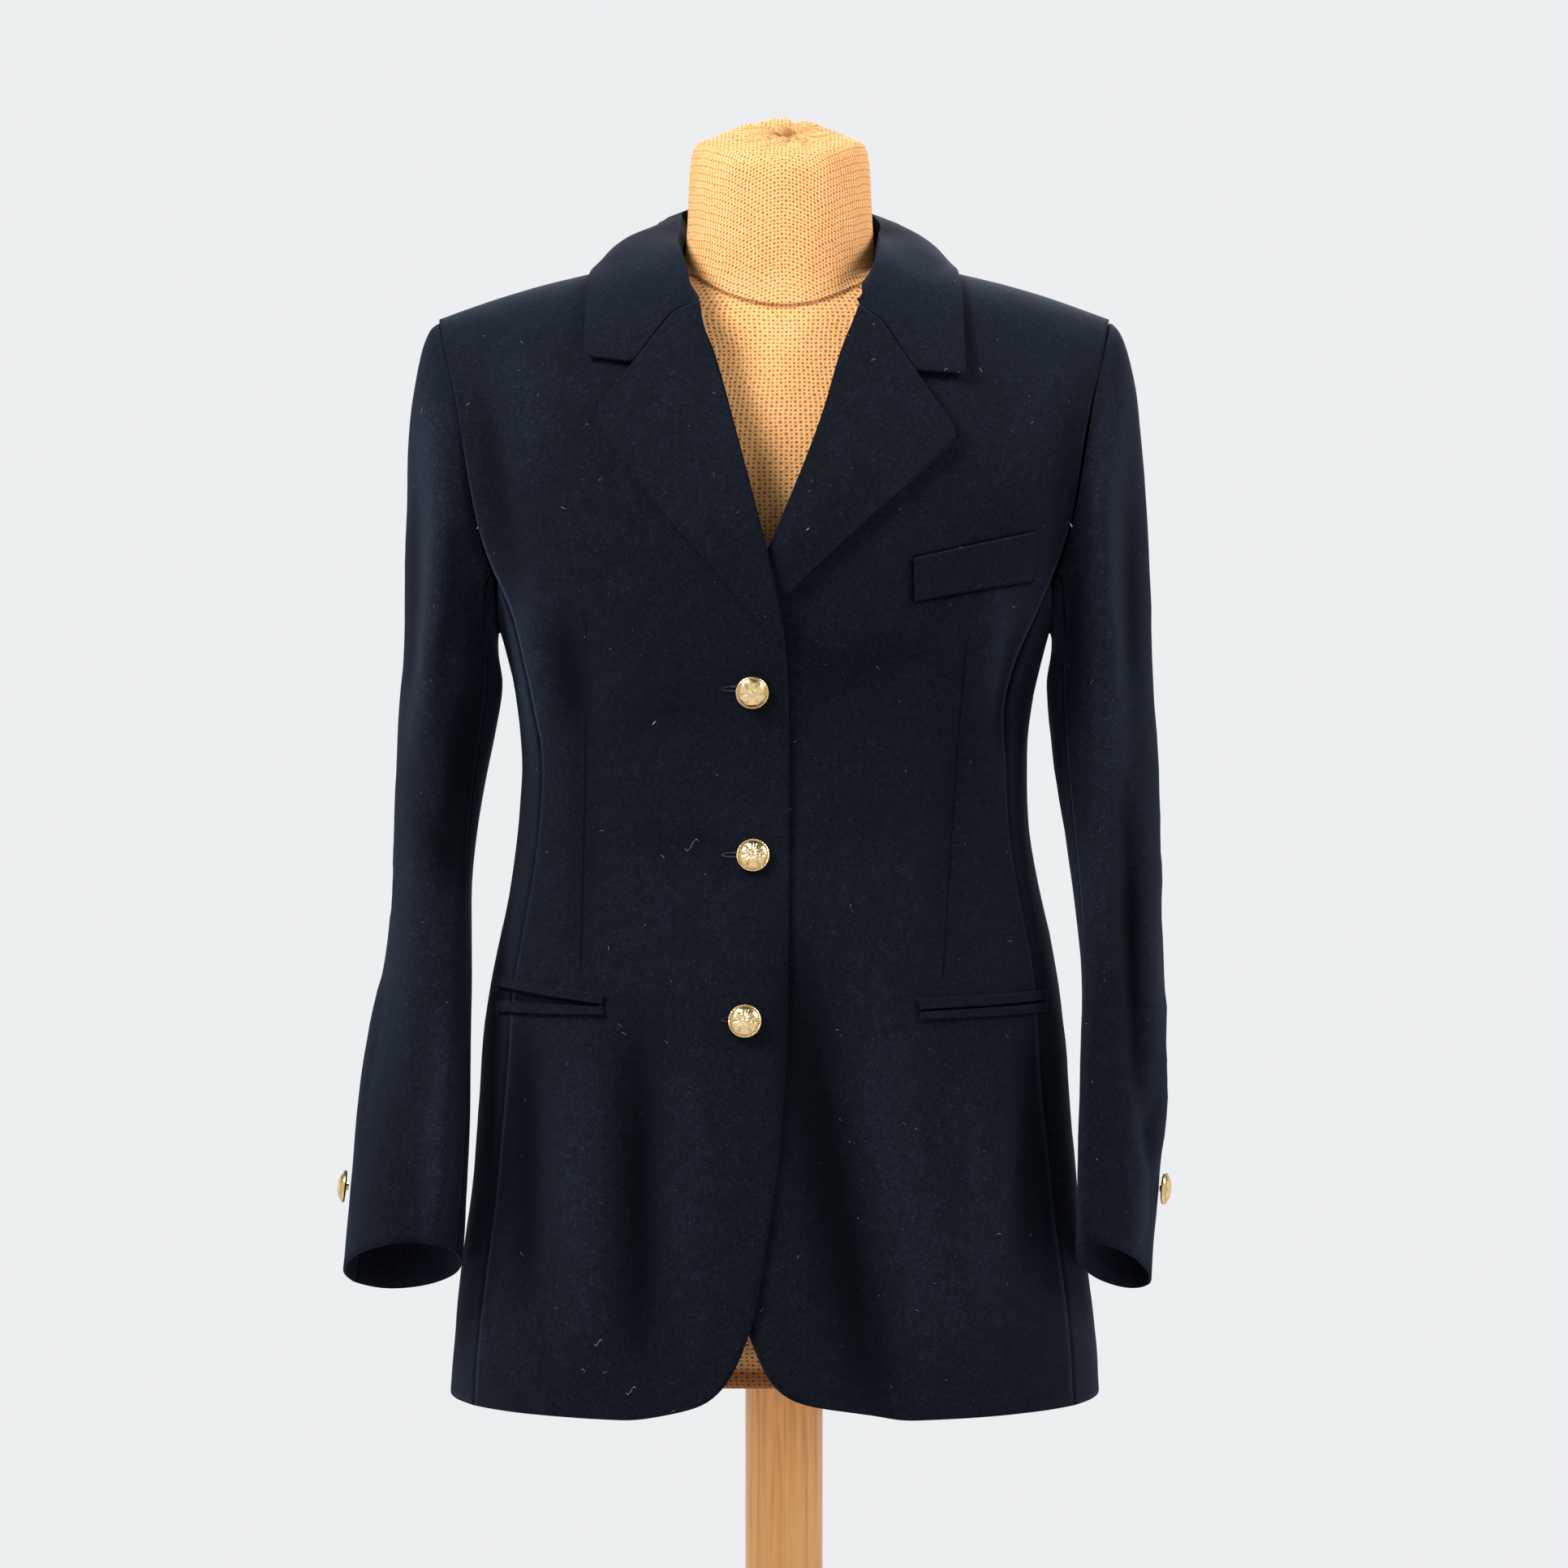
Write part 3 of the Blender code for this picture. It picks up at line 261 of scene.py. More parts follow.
def burlapMaterial():
    s = burlapSettings
    material, tree, shader = newMaterial("plain_weave_jute_burlap")
    thread = addNode(tree, "ShaderNodeAttribute", settings={"attribute_name": "thread"})
    wander = addNode(tree, "ShaderNodeTexNoise", values={"Scale": 1000 / s["wanderMm"], "Detail": 2.0},
                     links={"Vector": (thread, "Vector")})
    shift = addNode(tree, "ShaderNodeVectorMath", settings={"operation": "MULTIPLY_ADD"},
                    links={0: (wander, "Color"), 2: (thread, "Vector")})
    shift.inputs[1].default_value = (s["wanderBy"], s["wanderBy"], 0.0)
    parts = addNode(tree, "ShaderNodeSeparateXYZ", links={"Vector": (shift, "Vector")})
    # a thread's swing over and under repeats every second thread, across (X) and along (Y)
    swings = {}
    for way, phase in (("X", 0.0), ("Y", 0.0), ("X", math.pi / 2), ("Y", math.pi / 2)):
        angle = addNode(tree, "ShaderNodeMath", settings={"operation": "MULTIPLY_ADD"},
                        values={1: math.pi / (s["threadMm"] * millimetre), 2: phase}, links={0: (parts, way)})
        swings[way, phase] = addNode(tree, "ShaderNodeMath", settings={"operation": "SINE"},
                                     links={0: (angle, "Value")})
    warp, weft = [addNode(tree, "ShaderNodeMath", settings={"operation": "ABSOLUTE"},
                          links={0: (swings[way, 0.0], "Value")}) for way in ("X", "Y")]
    over = addNode(tree, "ShaderNodeMath", settings={"operation": "MULTIPLY"},
                   links={0: (swings["X", math.pi / 2], "Value"), 1: (swings["Y", math.pi / 2], "Value")})
    overShare = addNode(tree, "ShaderNodeMath", settings={"operation": "MULTIPLY_ADD"},
                        values={1: 0.5, 2: 0.5}, links={0: (over, "Value")})
    height = addNode(tree, "ShaderNodeMath", settings={"operation": "MAXIMUM"},
                     links={0: (warp, "Value"), 1: (weft, "Value")})
    woven = addNode(tree, "ShaderNodeMath", settings={"operation": "MULTIPLY_ADD"}, values={1: s["over"]},
                    links={0: (overShare, "Value"), 2: (height, "Value")})
    slub = addNode(tree, "ShaderNodeTexNoise", values={"Scale": 1000 / s["slubMm"], "Detail": 3.0},
                   links={"Vector": (thread, "Vector")})
    patchy = addNode(tree, "ShaderNodeTexNoise", values={"Scale": 1000 / s["patchMm"], "Detail": 3.0},
                     links={"Vector": (thread, "Vector")})
    rough = addNode(tree, "ShaderNodeMath", settings={"operation": "MULTIPLY_ADD"},
                    values={1: s["slub"], 2: -s["patch"]}, links={0: (slub, "Fac")})
    uneven = addNode(tree, "ShaderNodeMath", settings={"operation": "MULTIPLY_ADD"}, values={1: s["patch"]},
                     links={0: (patchy, "Fac"), 2: (rough, "Value")})
    shade = addNode(tree, "ShaderNodeMath", settings={"operation": "MULTIPLY_ADD"}, values={1: s["weave"]},
                    links={0: (woven, "Value"), 2: (uneven, "Value")})
    # painted shade: the lower the weave at a place, the darker its colour, darkest at the pinholes; the slub
    # and patch noise stay the jute's own uneven colour
    tones = colourRamp(tree, shade, "Value", ((0.30, s["pinholeShade"]), (0.52, s["dark"]), (0.74, s["mid"]),
                                              (1.0, s["light"])))
    # the form's painted shade darkens the weave's colour
    seam = addNode(tree, "ShaderNodeAttribute", settings={"attribute_name": "seamShade"})
    dark = addNode(tree, "ShaderNodeMix", settings={"data_type": "RGBA", "blend_type": "MULTIPLY"},
                   links={"Factor": (seam, "Fac"), "A": (tones, "Color")})
    dark.inputs["B"].default_value = hexColour(s["seam"])
    tree.links.new(dark.outputs["Result"], shader.inputs["Base Color"])
    bump = addNode(tree, "ShaderNodeBump", links={"Height": (shade, "Value")},
                   values={"Strength": s["bump"], "Distance": s["bumpMm"] * millimetre})
    tree.links.new(bump.outputs["Normal"], shader.inputs["Normal"])
    shader.inputs["Roughness"].default_value = s["roughness"]
    shader.inputs["Specular IOR Level"].default_value = s["specular"]
    return material


# Pine, turned and clear lacquered: long grain lines, a few darker streaks, a soft gloss
woodSettings = {
    "light": "#eeae62", "mid": "#e49f52", "dark": "#c6823a", "grainMm": 5.0,
    # how much the grain is drawn out up the pole and across the base
    "stretch": {"pole": (1.0, 1.0, 0.045), "base": (0.05, 1.0, 1.0)},
    "roughness": 0.42, "lacquer": 0.25, "lacquerRoughness": 0.25, "bump": 0.25, "bumpMm": 0.3,
}


def woodMaterial(piece):
    s = woodSettings
    material, tree, shader = newMaterial(f"lacquered_pine_{piece}")
    place = addNode(tree, "ShaderNodeTexCoord")
    stretch = addNode(tree, "ShaderNodeMapping", links={"Vector": (place, "Object")})
    stretch.inputs["Scale"].default_value = s["stretch"][piece]
    grain = addNode(tree, "ShaderNodeTexNoise", values={"Scale": 1000 / s["grainMm"], "Detail": 5.0,
                    "Roughness": 0.6, "Distortion": 0.8}, links={"Vector": (stretch, "Vector")})
    tones = colourRamp(tree, grain, "Fac", ((0.30, s["dark"]), (0.46, s["mid"]), (0.66, s["light"])))
    tree.links.new(tones.outputs["Color"], shader.inputs["Base Color"])
    bump = addNode(tree, "ShaderNodeBump", links={"Height": (grain, "Fac")},
                   values={"Strength": s["bump"], "Distance": s["bumpMm"] * millimetre})
    tree.links.new(bump.outputs["Normal"], shader.inputs["Normal"])
    shader.inputs["Roughness"].default_value = s["roughness"]
    shader.inputs["Coat Weight"].default_value = s["lacquer"]
    shader.inputs["Coat Roughness"].default_value = s["lacquerRoughness"]
    return material


# Gilt brass, die-struck and polished: bright yellow metal, tarnish left in the hollows
goldSettings = {
    "hollow": "#5f4720", "mid": "#bd9455", "raised": "#ecd09a",
    "wearMm": 1.1111, "wear": 0.20, "roughness": 0.14,
}


def goldMaterial():
    s = goldSettings
    material, tree, shader = newMaterial("struck_gilt_brass")
    hollow = addNode(tree, "ShaderNodeAttribute", settings={"attribute_name": "relief"})
    tones = colourRamp(tree, hollow, "Fac", ((0.0, s["hollow"]), (0.35, s["mid"]), (0.8, s["raised"])))
    tree.links.new(tones.outputs["Color"], shader.inputs["Base Color"])
    place = addNode(tree, "ShaderNodeTexCoord")
    wear = addNode(tree, "ShaderNodeTexNoise", values={"Scale": 1000 / s["wearMm"], "Detail": 2.0},
                   links={"Vector": (place, "Object")})
    rough = addNode(tree, "ShaderNodeMath", settings={"operation": "MULTIPLY_ADD"},
                    values={1: s["wear"], 2: s["roughness"]}, links={0: (wear, "Fac")})
    tree.links.new(rough.outputs["Value"], shader.inputs["Roughness"])
    shader.inputs["Metallic"].default_value = 1.0
    return material


# Spun thread and shed fibre: fuzzy, slightly mottled along its length
threadSettings = {
    "navy_buttonhole_twist": {"dark": "#0d1118", "light": "#1b222e", "roughness": 0.6},
    "pale_lint": {"dark": "#59616e", "light": "#a9afb9", "roughness": 0.8},
    "mottleMm": 0.6667,
}


def threadMaterial(name):
    s = threadSettings[name]
    material, tree, shader = newMaterial(name)
    place = addNode(tree, "ShaderNodeTexCoord")
    mottle = addNode(tree, "ShaderNodeTexNoise", values={"Scale": 1000 / threadSettings["mottleMm"]},
                     links={"Vector": (place, "Object")})
    tones = colourRamp(tree, mottle, "Fac", ((0.3, s["dark"]), (0.7, s["light"])))
    tree.links.new(tones.outputs["Color"], shader.inputs["Base Color"])
    shader.inputs["Roughness"].default_value = s["roughness"]
    return material


# How the cloth hangs: fold heights times foldDepth, and the hung wool's small unevenness
hangSettings = {
    # foldShadeRise: the fold rise at which the painted light and shade on the folds is at its full
    "foldDepth": 1.5, "sleeveSwell": 1.3, "foldShadeRise": 0.006,
    "broad": 0.0011, "broadPerMetre": 17.0, "fine": 0.00035, "finePerMetre": 52.0,
    "sleeveTop": 0.225, "sleeveFade": 0.05, "bodyTop": 0.285, "bodyFade": 0.03,
}
# Folds on the body: width, height (a trough is negative), side (-1 front, 1 back), then its
# line as places across and above the waist, in metres
bodyFolds = (
    # dart hollows, bust and underarm, both fronts
    (0.012, -0.0016, -1, (-0.121, 0.100), (-0.124, -0.115)),
    (0.011, -0.0034, -1, (-0.133, 0.098), (-0.130, 0.035)),
    (0.012, 0.0040, -1, (-0.152, 0.118), (-0.150, 0.030)),
    (0.012, -0.0016, -1, (0.111, 0.085), (0.098, -0.118)),
    (0.012, 0.0035, -1, (0.128, 0.120), (0.126, 0.060)),
    (0.010, -0.0036, -1, (0.141, 0.100), (0.134, 0.025)),
    # pull lines from the buttons
    (0.012, -0.0016, -1, (-0.030, 0.058), (-0.110, 0.030)),
    (0.014, -0.0013, -1, (-0.030, -0.044), (-0.100, -0.030)),
    (0.014, -0.0014, -1, (0.012, 0.060), (0.080, 0.080)),
    (0.014, -0.0012, -1, (0.012, -0.035), (0.080, -0.020)),
    # skirt, wearer's right: trough below the pocket and its ridges
    (0.017, -0.0048, -1, (-0.0915, -0.150), (-0.089, -0.250), (-0.088, -0.345)),
    (0.020, 0.0034, -1, (-0.120, -0.165), (-0.118, -0.340)),
    (0.018, 0.0022, -1, (-0.060, -0.160), (-0.058, -0.350)),
    (0.014, -0.0048, -1, (-0.160, -0.150), (-0.158, -0.310)),
    # skirt, wearer's left: long slanting trough
    (0.019, -0.0054, -1, (0.004, -0.100), (0.028, -0.235), (0.056, -0.375)),
    (0.024, 0.0036, -1, (0.050, -0.150), (0.088, -0.360)),
    (0.013, -0.0046, -1, (0.152, -0.145), (0.148, -0.300)),
    (0.020, 0.0026, -1, (0.120, -0.180), (0.122, -0.360)),
    # upper chest and armholes
    (0.016, 0.0020, -1, (-0.170, 0.270), (-0.150, 0.180)),
    (0.016, 0.0018, -1, (0.165, 0.265), (0.150, 0.180)),
    (0.012, -0.0024, -1, (-0.185, 0.235), (-0.165, 0.120)),
    (0.012, -0.0022, -1, (0.178, 0.225), (0.162, 0.130)),
    # back: blade drape, waist hollows, skirt flutes, a bow under the collar
    (0.022, -0.0035, 1, (-0.125, 0.230), (-0.100, 0.060)),
    (0.020, -0.0032, 1, (0.118, 0.220), (0.096, 0.050)),
    (0.016, -0.0036, 1, (-0.070, 0.060), (-0.062, -0.100)),
    (0.016, -0.0034, 1, (0.060, 0.050), (0.056, -0.090)),
    (0.022, 0.0042, 1, (-0.110, -0.120), (-0.122, -0.370)),
    (0.020, -0.0046, 1, (-0.062, -0.140), (-0.066, -0.380)),
    (0.022, -0.0044, 1, (0.050, -0.120), (0.060, -0.380)),
    (0.022, 0.0040, 1, (0.105, -0.130), (0.118, -0.375)),
    (0.012, -0.0022, 1, (-0.080, 0.020), (0.000, 0.010), (0.080, 0.012)),
    (0.013, -0.0018, 1, (-0.090, -0.012), (0.060, -0.020)),
    (0.014, -0.0022, 1, (-0.060, 0.276), (0.000, 0.266), (0.055, 0.274)),
)
# Folds on the sleeves, written the same way
sleeveFolds = {
    "right": (
        (0.010, 0.0064, -1, (-0.2187, 0.232), (-0.2126, 0.161), (-0.2156, 0.113), (-0.2270, 0.020)),
        (0.009, -0.0040, -1, (-0.2300, 0.190), (-0.2330, 0.060)),
        (0.009, 0.0050, -1, (-0.2080, -0.150), (-0.2140, -0.290)),
        (0.014, 0.0026, -1, (-0.2300, -0.040), (-0.2340, -0.180)),
        (0.010, -0.0032, -1, (-0.1960, 0.050), (-0.2060, -0.060)),
        (0.009, -0.0026, -1, (-0.2200, -0.020), (-0.2020, -0.070)),
        (0.013, -0.0042, 1, (-0.2350, 0.200), (-0.2400, -0.020)),
        (0.013, 0.0040, 1, (-0.2150, 0.180), (-0.2150, 0.030)),
        (0.010, -0.0036, 1, (-0.2450, -0.020), (-0.2150, -0.060)),
        (0.010, -0.0036, 1, (-0.2500, -0.060), (-0.2200, -0.105)),
        (0.014, 0.0036, 1, (-0.2550, -0.120), (-0.2500, -0.260)),
    ),
    "left": (
        (0.010, 0.0060, -1, (0.2105, 0.249), (0.203, 0.212), (0.1975, 0.182), (0.1975, 0.132),
         (0.1995, 0.090), (0.2010, 0.003), (0.2045, -0.063)),
        (0.008, -0.0052, -1, (0.2065, 0.003), (0.2110, -0.063), (0.2130, -0.107), (0.2165, -0.161),
         (0.2195, -0.194), (0.2207, -0.227)),
        (0.009, -0.0036, -1, (0.2140, 0.180), (0.2150, 0.060)),
        (0.009, 0.0034, -1, (0.2240, -0.080), (0.2230, -0.200)),
        (0.007, 0.0044, -1, (0.2145, -0.190), (0.2160, -0.280)),
        (0.010, 0.0026, -1, (0.1900, -0.030), (0.2000, -0.120)),
        (0.013, -0.0042, 1, (0.2250, 0.200), (0.2300, -0.020)),
        (0.013, 0.0040, 1, (0.2060, 0.180), (0.2060, 0.030)),
        (0.010, -0.0036, 1, (0.2360, -0.030), (0.2050, -0.070)),
        (0.010, -0.0034, 1, (0.2380, -0.075), (0.2050, -0.120)),
        (0.014, 0.0036, 1, (0.2330, -0.130), (0.2280, -0.260)),
    ),
}


def foldRise(folds, x, height, facing):
    # how far all folds lift the cloth at a place; facing is -1 at the front and 1 at the back
    rise = 0.0
    for width, high, side, *line in folds:
        share = smooth(0.5 + 1.4 * facing * side)
        if share <= 0:
            continue
        lengths = [math.dist(a, b) for a, b in zip(line, line[1:])]
        total, run, best = sum(lengths), 0.0, None
        for (a, b), length in zip(zip(line, line[1:]), lengths):
            t = ((x - a[0]) * (b[0] - a[0]) + (height - a[1]) * (b[1] - a[1])) / length ** 2
            t = min(1.0, max(0.0, t))
            away = math.hypot(x - mix(a[0], b[0], t), height - mix(a[1], b[1], t))
            if best is None or away < best[0]:
                best = (away, (run + t * length) / total)
            run += length
        away, place = best
        if away < 3 * width:
            # a fold runs out at both ends
            runOut = 0.25 + 0.75 * math.sin(math.pi * place) ** 0.6
            rise += share * high * math.exp(-(away / width) ** 2) * runOut
    return rise


def ripple(point):
    # the small unevenness of hung wool, in metres
    s = hangSettings
    broad = noise.noise(point * s["broadPerMetre"] + Vector((3.1, 0.4, 7.7)))
    fine = noise.noise(point * s["finePerMetre"] + Vector((1.7, 5.2, 0.3)))
    return s["broad"] * broad + s["fine"] * fine


def bodyOutward(point):
    return Vector((point.x * 0.5, point.y, 0.0)).normalized()


def bodyRise(point):
    s = hangSettings
    height = point.z - waist
    under = 1 - 0.8 * smooth((height - s["bodyTop"]) / s["bodyFade"])   # folds fade towards the collar
    return s["foldDepth"] * foldRise(bodyFolds, point.x, height, bodyOutward(point).y) * under


def bodyShift(point):
    # moves a place on the coat's body, collar or lapels straight out or in
    return bodyOutward(point) * (bodyRise(point) + ripple(point))


def armCentres(hand):
    # the middle of the sleeve at each height, read from its own solids
    rows, step = {}, 0.02
    for kind in ("upper", "under"):
        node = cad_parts[f"sleeve_{kind}_{hand}"]
        for vertex in node.data.vertices:
            rows.setdefault(round(vertex.co.z / step), []).append(vertex.co)
    table = []
    for key in sorted(rows):
        xs, ys = [p.x for p in rows[key]], [p.y for p in rows[key]]
        table.append((key * step, (min(xs) + max(xs)) / 2, (min(ys) + max(ys)) / 2))
    return table


armLines = {hand: armCentres(hand) for hand in ("right", "left")}


def armCentreAt(hand, z):
    table = armLines[hand]
    if z <= table[0][0]:
        return table[0][1:]
    for low, high in zip(table, table[1:]):
        if z <= high[0]:
            t = (z - low[0]) / (high[0] - low[0])
            return mix(low[1], high[1], t), mix(low[2], high[2], t)
    return table[-1][1:]


def sleeveFields(hand):
    # the rise and the shift of one sleeve's folds, both fading out at the armhole
    s = hangSettings

    def below(point):
        return 1.0 - smooth((point.z - waist - s["sleeveTop"]) / s["sleeveFade"])

    def facing(point):
        return max(-1.0, min(1.0, (point.y - armCentreAt(hand, point.z)[1]) / 0.035))

    def rise(point):
        folds = foldRise(sleeveFolds[hand], point.x, point.z - waist, facing(point))
        return below(point) * s["foldDepth"] * folds

    def shift(point):
        cx, cy = armCentreAt(hand, point.z)
        outward = Vector((point.x - cx, (point.y - cy) * 0.6, 0.0)).normalized()
        # the front of the sleeve swells forwards rather than sideways
        ahead = Vector((0.35 * outward.x, facing(point), 0.0)).normalized()
        return ahead * s["sleeveSwell"] * rise(point) + outward * ripple(point) * below(point)
    return rise, shift


def refined(node, levels=2, sharpAngle=50.0):
    # the solid's own mesh as quads, rounded by Catmull-Clark with its folds and rims kept
    mesh = node.data.copy()
    shape = bmesh.new()
    shape.from_mesh(mesh)
    bmesh.ops.remove_doubles(shape, verts=shape.verts, dist=1e-6)
    bmesh.ops.join_triangles(shape, faces=shape.faces, angle_face_threshold=math.radians(24),
                             angle_shape_threshold=math.radians(60))
    crease = shape.edges.layers.float.new("crease_edge")
    for edge in shape.edges:
        if not edge.is_manifold or edge.calc_face_angle(0.0) > math.radians(sharpAngle):
            edge[crease] = 1.0
    shape.to_mesh(mesh)
    shape.free()
    made = bpy.data.objects.new(node.name + "_cloth", mesh)
    bpy.context.scene.collection.objects.link(made)
    rounder = made.modifiers.new("round", "SUBSURF")
    rounder.levels = rounder.render_levels = levels
    rounder.boundary_smooth = "PRESERVE_CORNERS"
    bpy.context.view_layer.update()
    done = bpy.data.meshes.new_from_object(made.evaluated_get(bpy.context.evaluated_depsgraph_get()))
    made.modifiers.clear()
    made.data = done
    bpy.data.meshes.remove(mesh)
    done.shade_smooth()
    done.set_sharp_from_angle(angle=math.radians(55))
    return made


def shifted(made, shift, rise):
    # moves each point of a piece, and writes how far its fold lifts it, which sets the painted light and
    # shade on the wool's folds
    fold = made.data.attributes.new("fold", "FLOAT", "POINT")
    for vertex in made.data.vertices:
        tone = rise(vertex.co) / hangSettings["foldShadeRise"]
        fold.data[vertex.index].value = max(-1.0, min(1.0, tone))
        vertex.co += shift(vertex.co)
    made.data.update()


# Where the collar and lapels are eased to lie against the neck and run on into each other:
# piece, place across and over the waist, reach, shift across and up, in metres
easing = (
    ("collar", -0.070, 0.345, 0.018, 0.0090, 0.0),
    ("collar", -0.066, 0.322, 0.014, 0.0060, 0.0),
    ("collar", -0.0535, 0.2995, 0.008, 0.0018, -0.0006),
    ("collar", 0.060, 0.344, 0.018, -0.0035, 0.0),
    ("collar", 0.0425, 0.301, 0.006, 0.0044, -0.0010),
    ("lapel_right", -0.054, 0.295, 0.009, 0.0018, 0.0020),
    ("lapel_left", 0.0480, 0.294, 0.008, 0.0, 0.0020),
    ("lapel_left", 0.0385, 0.263, 0.030, -0.0025, 0.0),
)
# The collar behind the neck, pressed down and in over the back's neckline, and how much the
# collar and lapels stand proud of the fronts
collarSettings = {
    "proud": 0.0020, "fallDown": 0.018, "fallIn": 0.017, "neckClear": 0.0612, "neckFrom": 0.32,
}


def eased(name):
    s = collarSettings
    rows = [row[1:] for row in easing if row[0] == name]

    def shift(point):
        moved = bodyShift(point)
        if name.startswith(("collar", "lapel")):
            moved += bodyOutward(point) * s["proud"] * smooth(-point.y / 0.03)
        for x, height, reach, across, up in rows:
            share = math.exp(-((point.x - x) ** 2 + (point.z - waist - height) ** 2) / reach ** 2)
            if point.y < 0.03:
                moved += Vector((across * share, 0.0, up * share))
        if name == "collar" and point.y > 0:
            fromNeck = Vector((point.x, point.y, 0.0))
            share = smooth((fromNeck.length - 0.080) / 0.030) * smooth((point.y - 0.005) / 0.055)
            moved += Vector((0.0, 0.0, -s["fallDown"] * share))
            moved -= fromNeck.normalized() * s["fallIn"] * share
        there = point + moved
        radius = math.hypot(there.x, there.y)
        if name == "collar" and there.z - waist > s["neckFrom"] and radius < s["neckClear"]:
            moved += Vector((there.x, there.y, 0.0)) * (s["neckClear"] / radius - 1.0)
        return moved
    return shift


def makeCloth(wool):
    made = {}
    starts = ("front_", "back_", "side_", "lapel_", "jet_")
    body = sorted(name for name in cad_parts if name.startswith(starts))
    for name in body + ["collar", "breast_welt"]:
        small = name.startswith(("lapel_", "jet_", "breast"))
        made[name] = refined(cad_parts[name], levels=3 if small else 2)
        shifted(made[name], eased(name), bodyRise)
    for hand in ("right", "left"):
        for kind in ("sleeve_upper", "sleeve_under"):
            name = f"{kind}_{hand}"
            made[name] = refined(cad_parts[name])
            rise, shift = sleeveFields(hand)
            shifted(made[name], shift, rise)
    for name, piece in made.items():
        piece.data.materials.clear()
        piece.data.materials.append(wool)
        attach(piece, "root")
        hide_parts(name)
    print("cloth pieces", len(made), "faces", sum(len(p.data.polygons) for p in made.values()))
    return made


# Dress form: the solid rounded off, its burlap creased at the neck and gathered on the cap
formSettings = {
    "capFrom": 0.392, "capRadius": 0.050, "pleats": 11, "pleatHeight": 0.0016, "dimple": 0.0035,
    "shadedBandTop": -0.352, "seamFront": 0.297, "seamSide": 0.320, "seamHeight": 0.0011,
    # radius by which the threads are counted round the body and round the neck
    "bodyRadius": 0.085, "neckRadius": 0.060, "neckDrop": 1.08, "neckTurn": 1.05,
}


def neckSeam(x):
    # height of the seam where the neck's burlap laps over the body's
    return mix(formSettings["seamFront"], formSettings["seamSide"], min(1.0, (abs(x) / 0.058) ** 2))


def makeForm(burlap):
    s = formSettings
    made = refined(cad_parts["dress_form"], levels=3)
    mesh = made.data
    for vertex in mesh.vertices:
        p = vertex.co
        height = p.z - waist
        outward = Vector((p.x, p.y, 0.0)).normalized()
        rise = 0.0
        if height > 0.27:
            above = height - neckSeam(p.x)
            # the lapped edge stands up a little, then the neck's cloth swells back
            rise += s["seamHeight"] * smooth((above + 0.0006) / 0.0016) * (1 - 0.6 * smooth(above / 0.02))
            rise += 0.0007 * noise.noise(Vector((p.x * 60, p.y * 60, height * 22)))
        radius = math.hypot(p.x, p.y)
        if height > s["capFrom"] and radius < s["capRadius"]:
            turn = math.atan2(p.y + 0.004, p.x - 0.006)   # the gathers meet a little off the middle
            share = smooth((s["capRadius"] - radius) / 0.022) * smooth(radius / 0.006)
            wave = math.sin(s["pleats"] * turn + 2.2 * noise.noise(Vector((p.x * 70, p.y * 70, 0.0))))
            tuck = noise.noise(Vector((p.x * 150, p.y * 150, 4.0)))
            vertex.co.z += share * (s["pleatHeight"] * (wave + 1.1 * tuck) + 0.0012)
            vertex.co.z -= s["dimple"] * math.exp(-(radius / 0.007) ** 2)
        vertex.co += outward * rise
    thread = mesh.attributes.new("thread", "FLOAT_VECTOR", "CORNER")
    for face in mesh.polygons:
        middle = math.atan2(face.center.x, -face.center.y)
        for loop in face.loop_indices:
            p = mesh.vertices[mesh.loops[loop].vertex_index].co
            turn = math.atan2(p.x, -p.y)
            if turn - middle > math.pi:
                turn -= 2 * math.pi
            elif middle - turn > math.pi:
                turn += 2 * math.pi
            height = p.z - waist
            around = mix(s["bodyRadius"], s["neckRadius"], smooth((height - 0.25) / 0.05))
            drop = height
            if face.normal.z > 0.75 and height > 0.38:
                thread.data[loop].vector = (p.x, p.y, 0.0)
                continue
            # the neck is a separate cut: its threads are finer and run a little askew
            if height > neckSeam(p.x):
                drop, turn = s["neckDrop"] * (height + 0.03 * abs(turn) ** 1.5), turn * s["neckTurn"]
            thread.data[loop].vector = (turn * around, drop, 0.0)
    # painted shade: a line just under the neck's lapped seam at the front, a band round the bottom rim where
    # the burlap turns under, and the hollow where the cap's gathers meet
    shade = mesh.attributes.new("seamShade", "FLOAT", "POINT")
    for vertex in mesh.vertices:
        p = vertex.co
        height = p.z - waist
        line = math.exp(-((height - neckSeam(p.x) + 0.0012) / 0.0012) ** 2) if p.y < 0.045 else 0.0
        bottom = smooth((s["shadedBandTop"] - height) / 0.006)
        hollow = math.exp(-(math.hypot(p.x, p.y) / 0.008) ** 2) if height > 0.38 else 0.0
        shade.data[vertex.index].value = min(1.0, 0.75 * line + 0.9 * bottom + 0.8 * hollow)
    mesh.materials.clear()
    mesh.materials.append(burlap)
    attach(made, "root")
    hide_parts("dress_form")
    print("form ready", len(mesh.polygons))
    return made


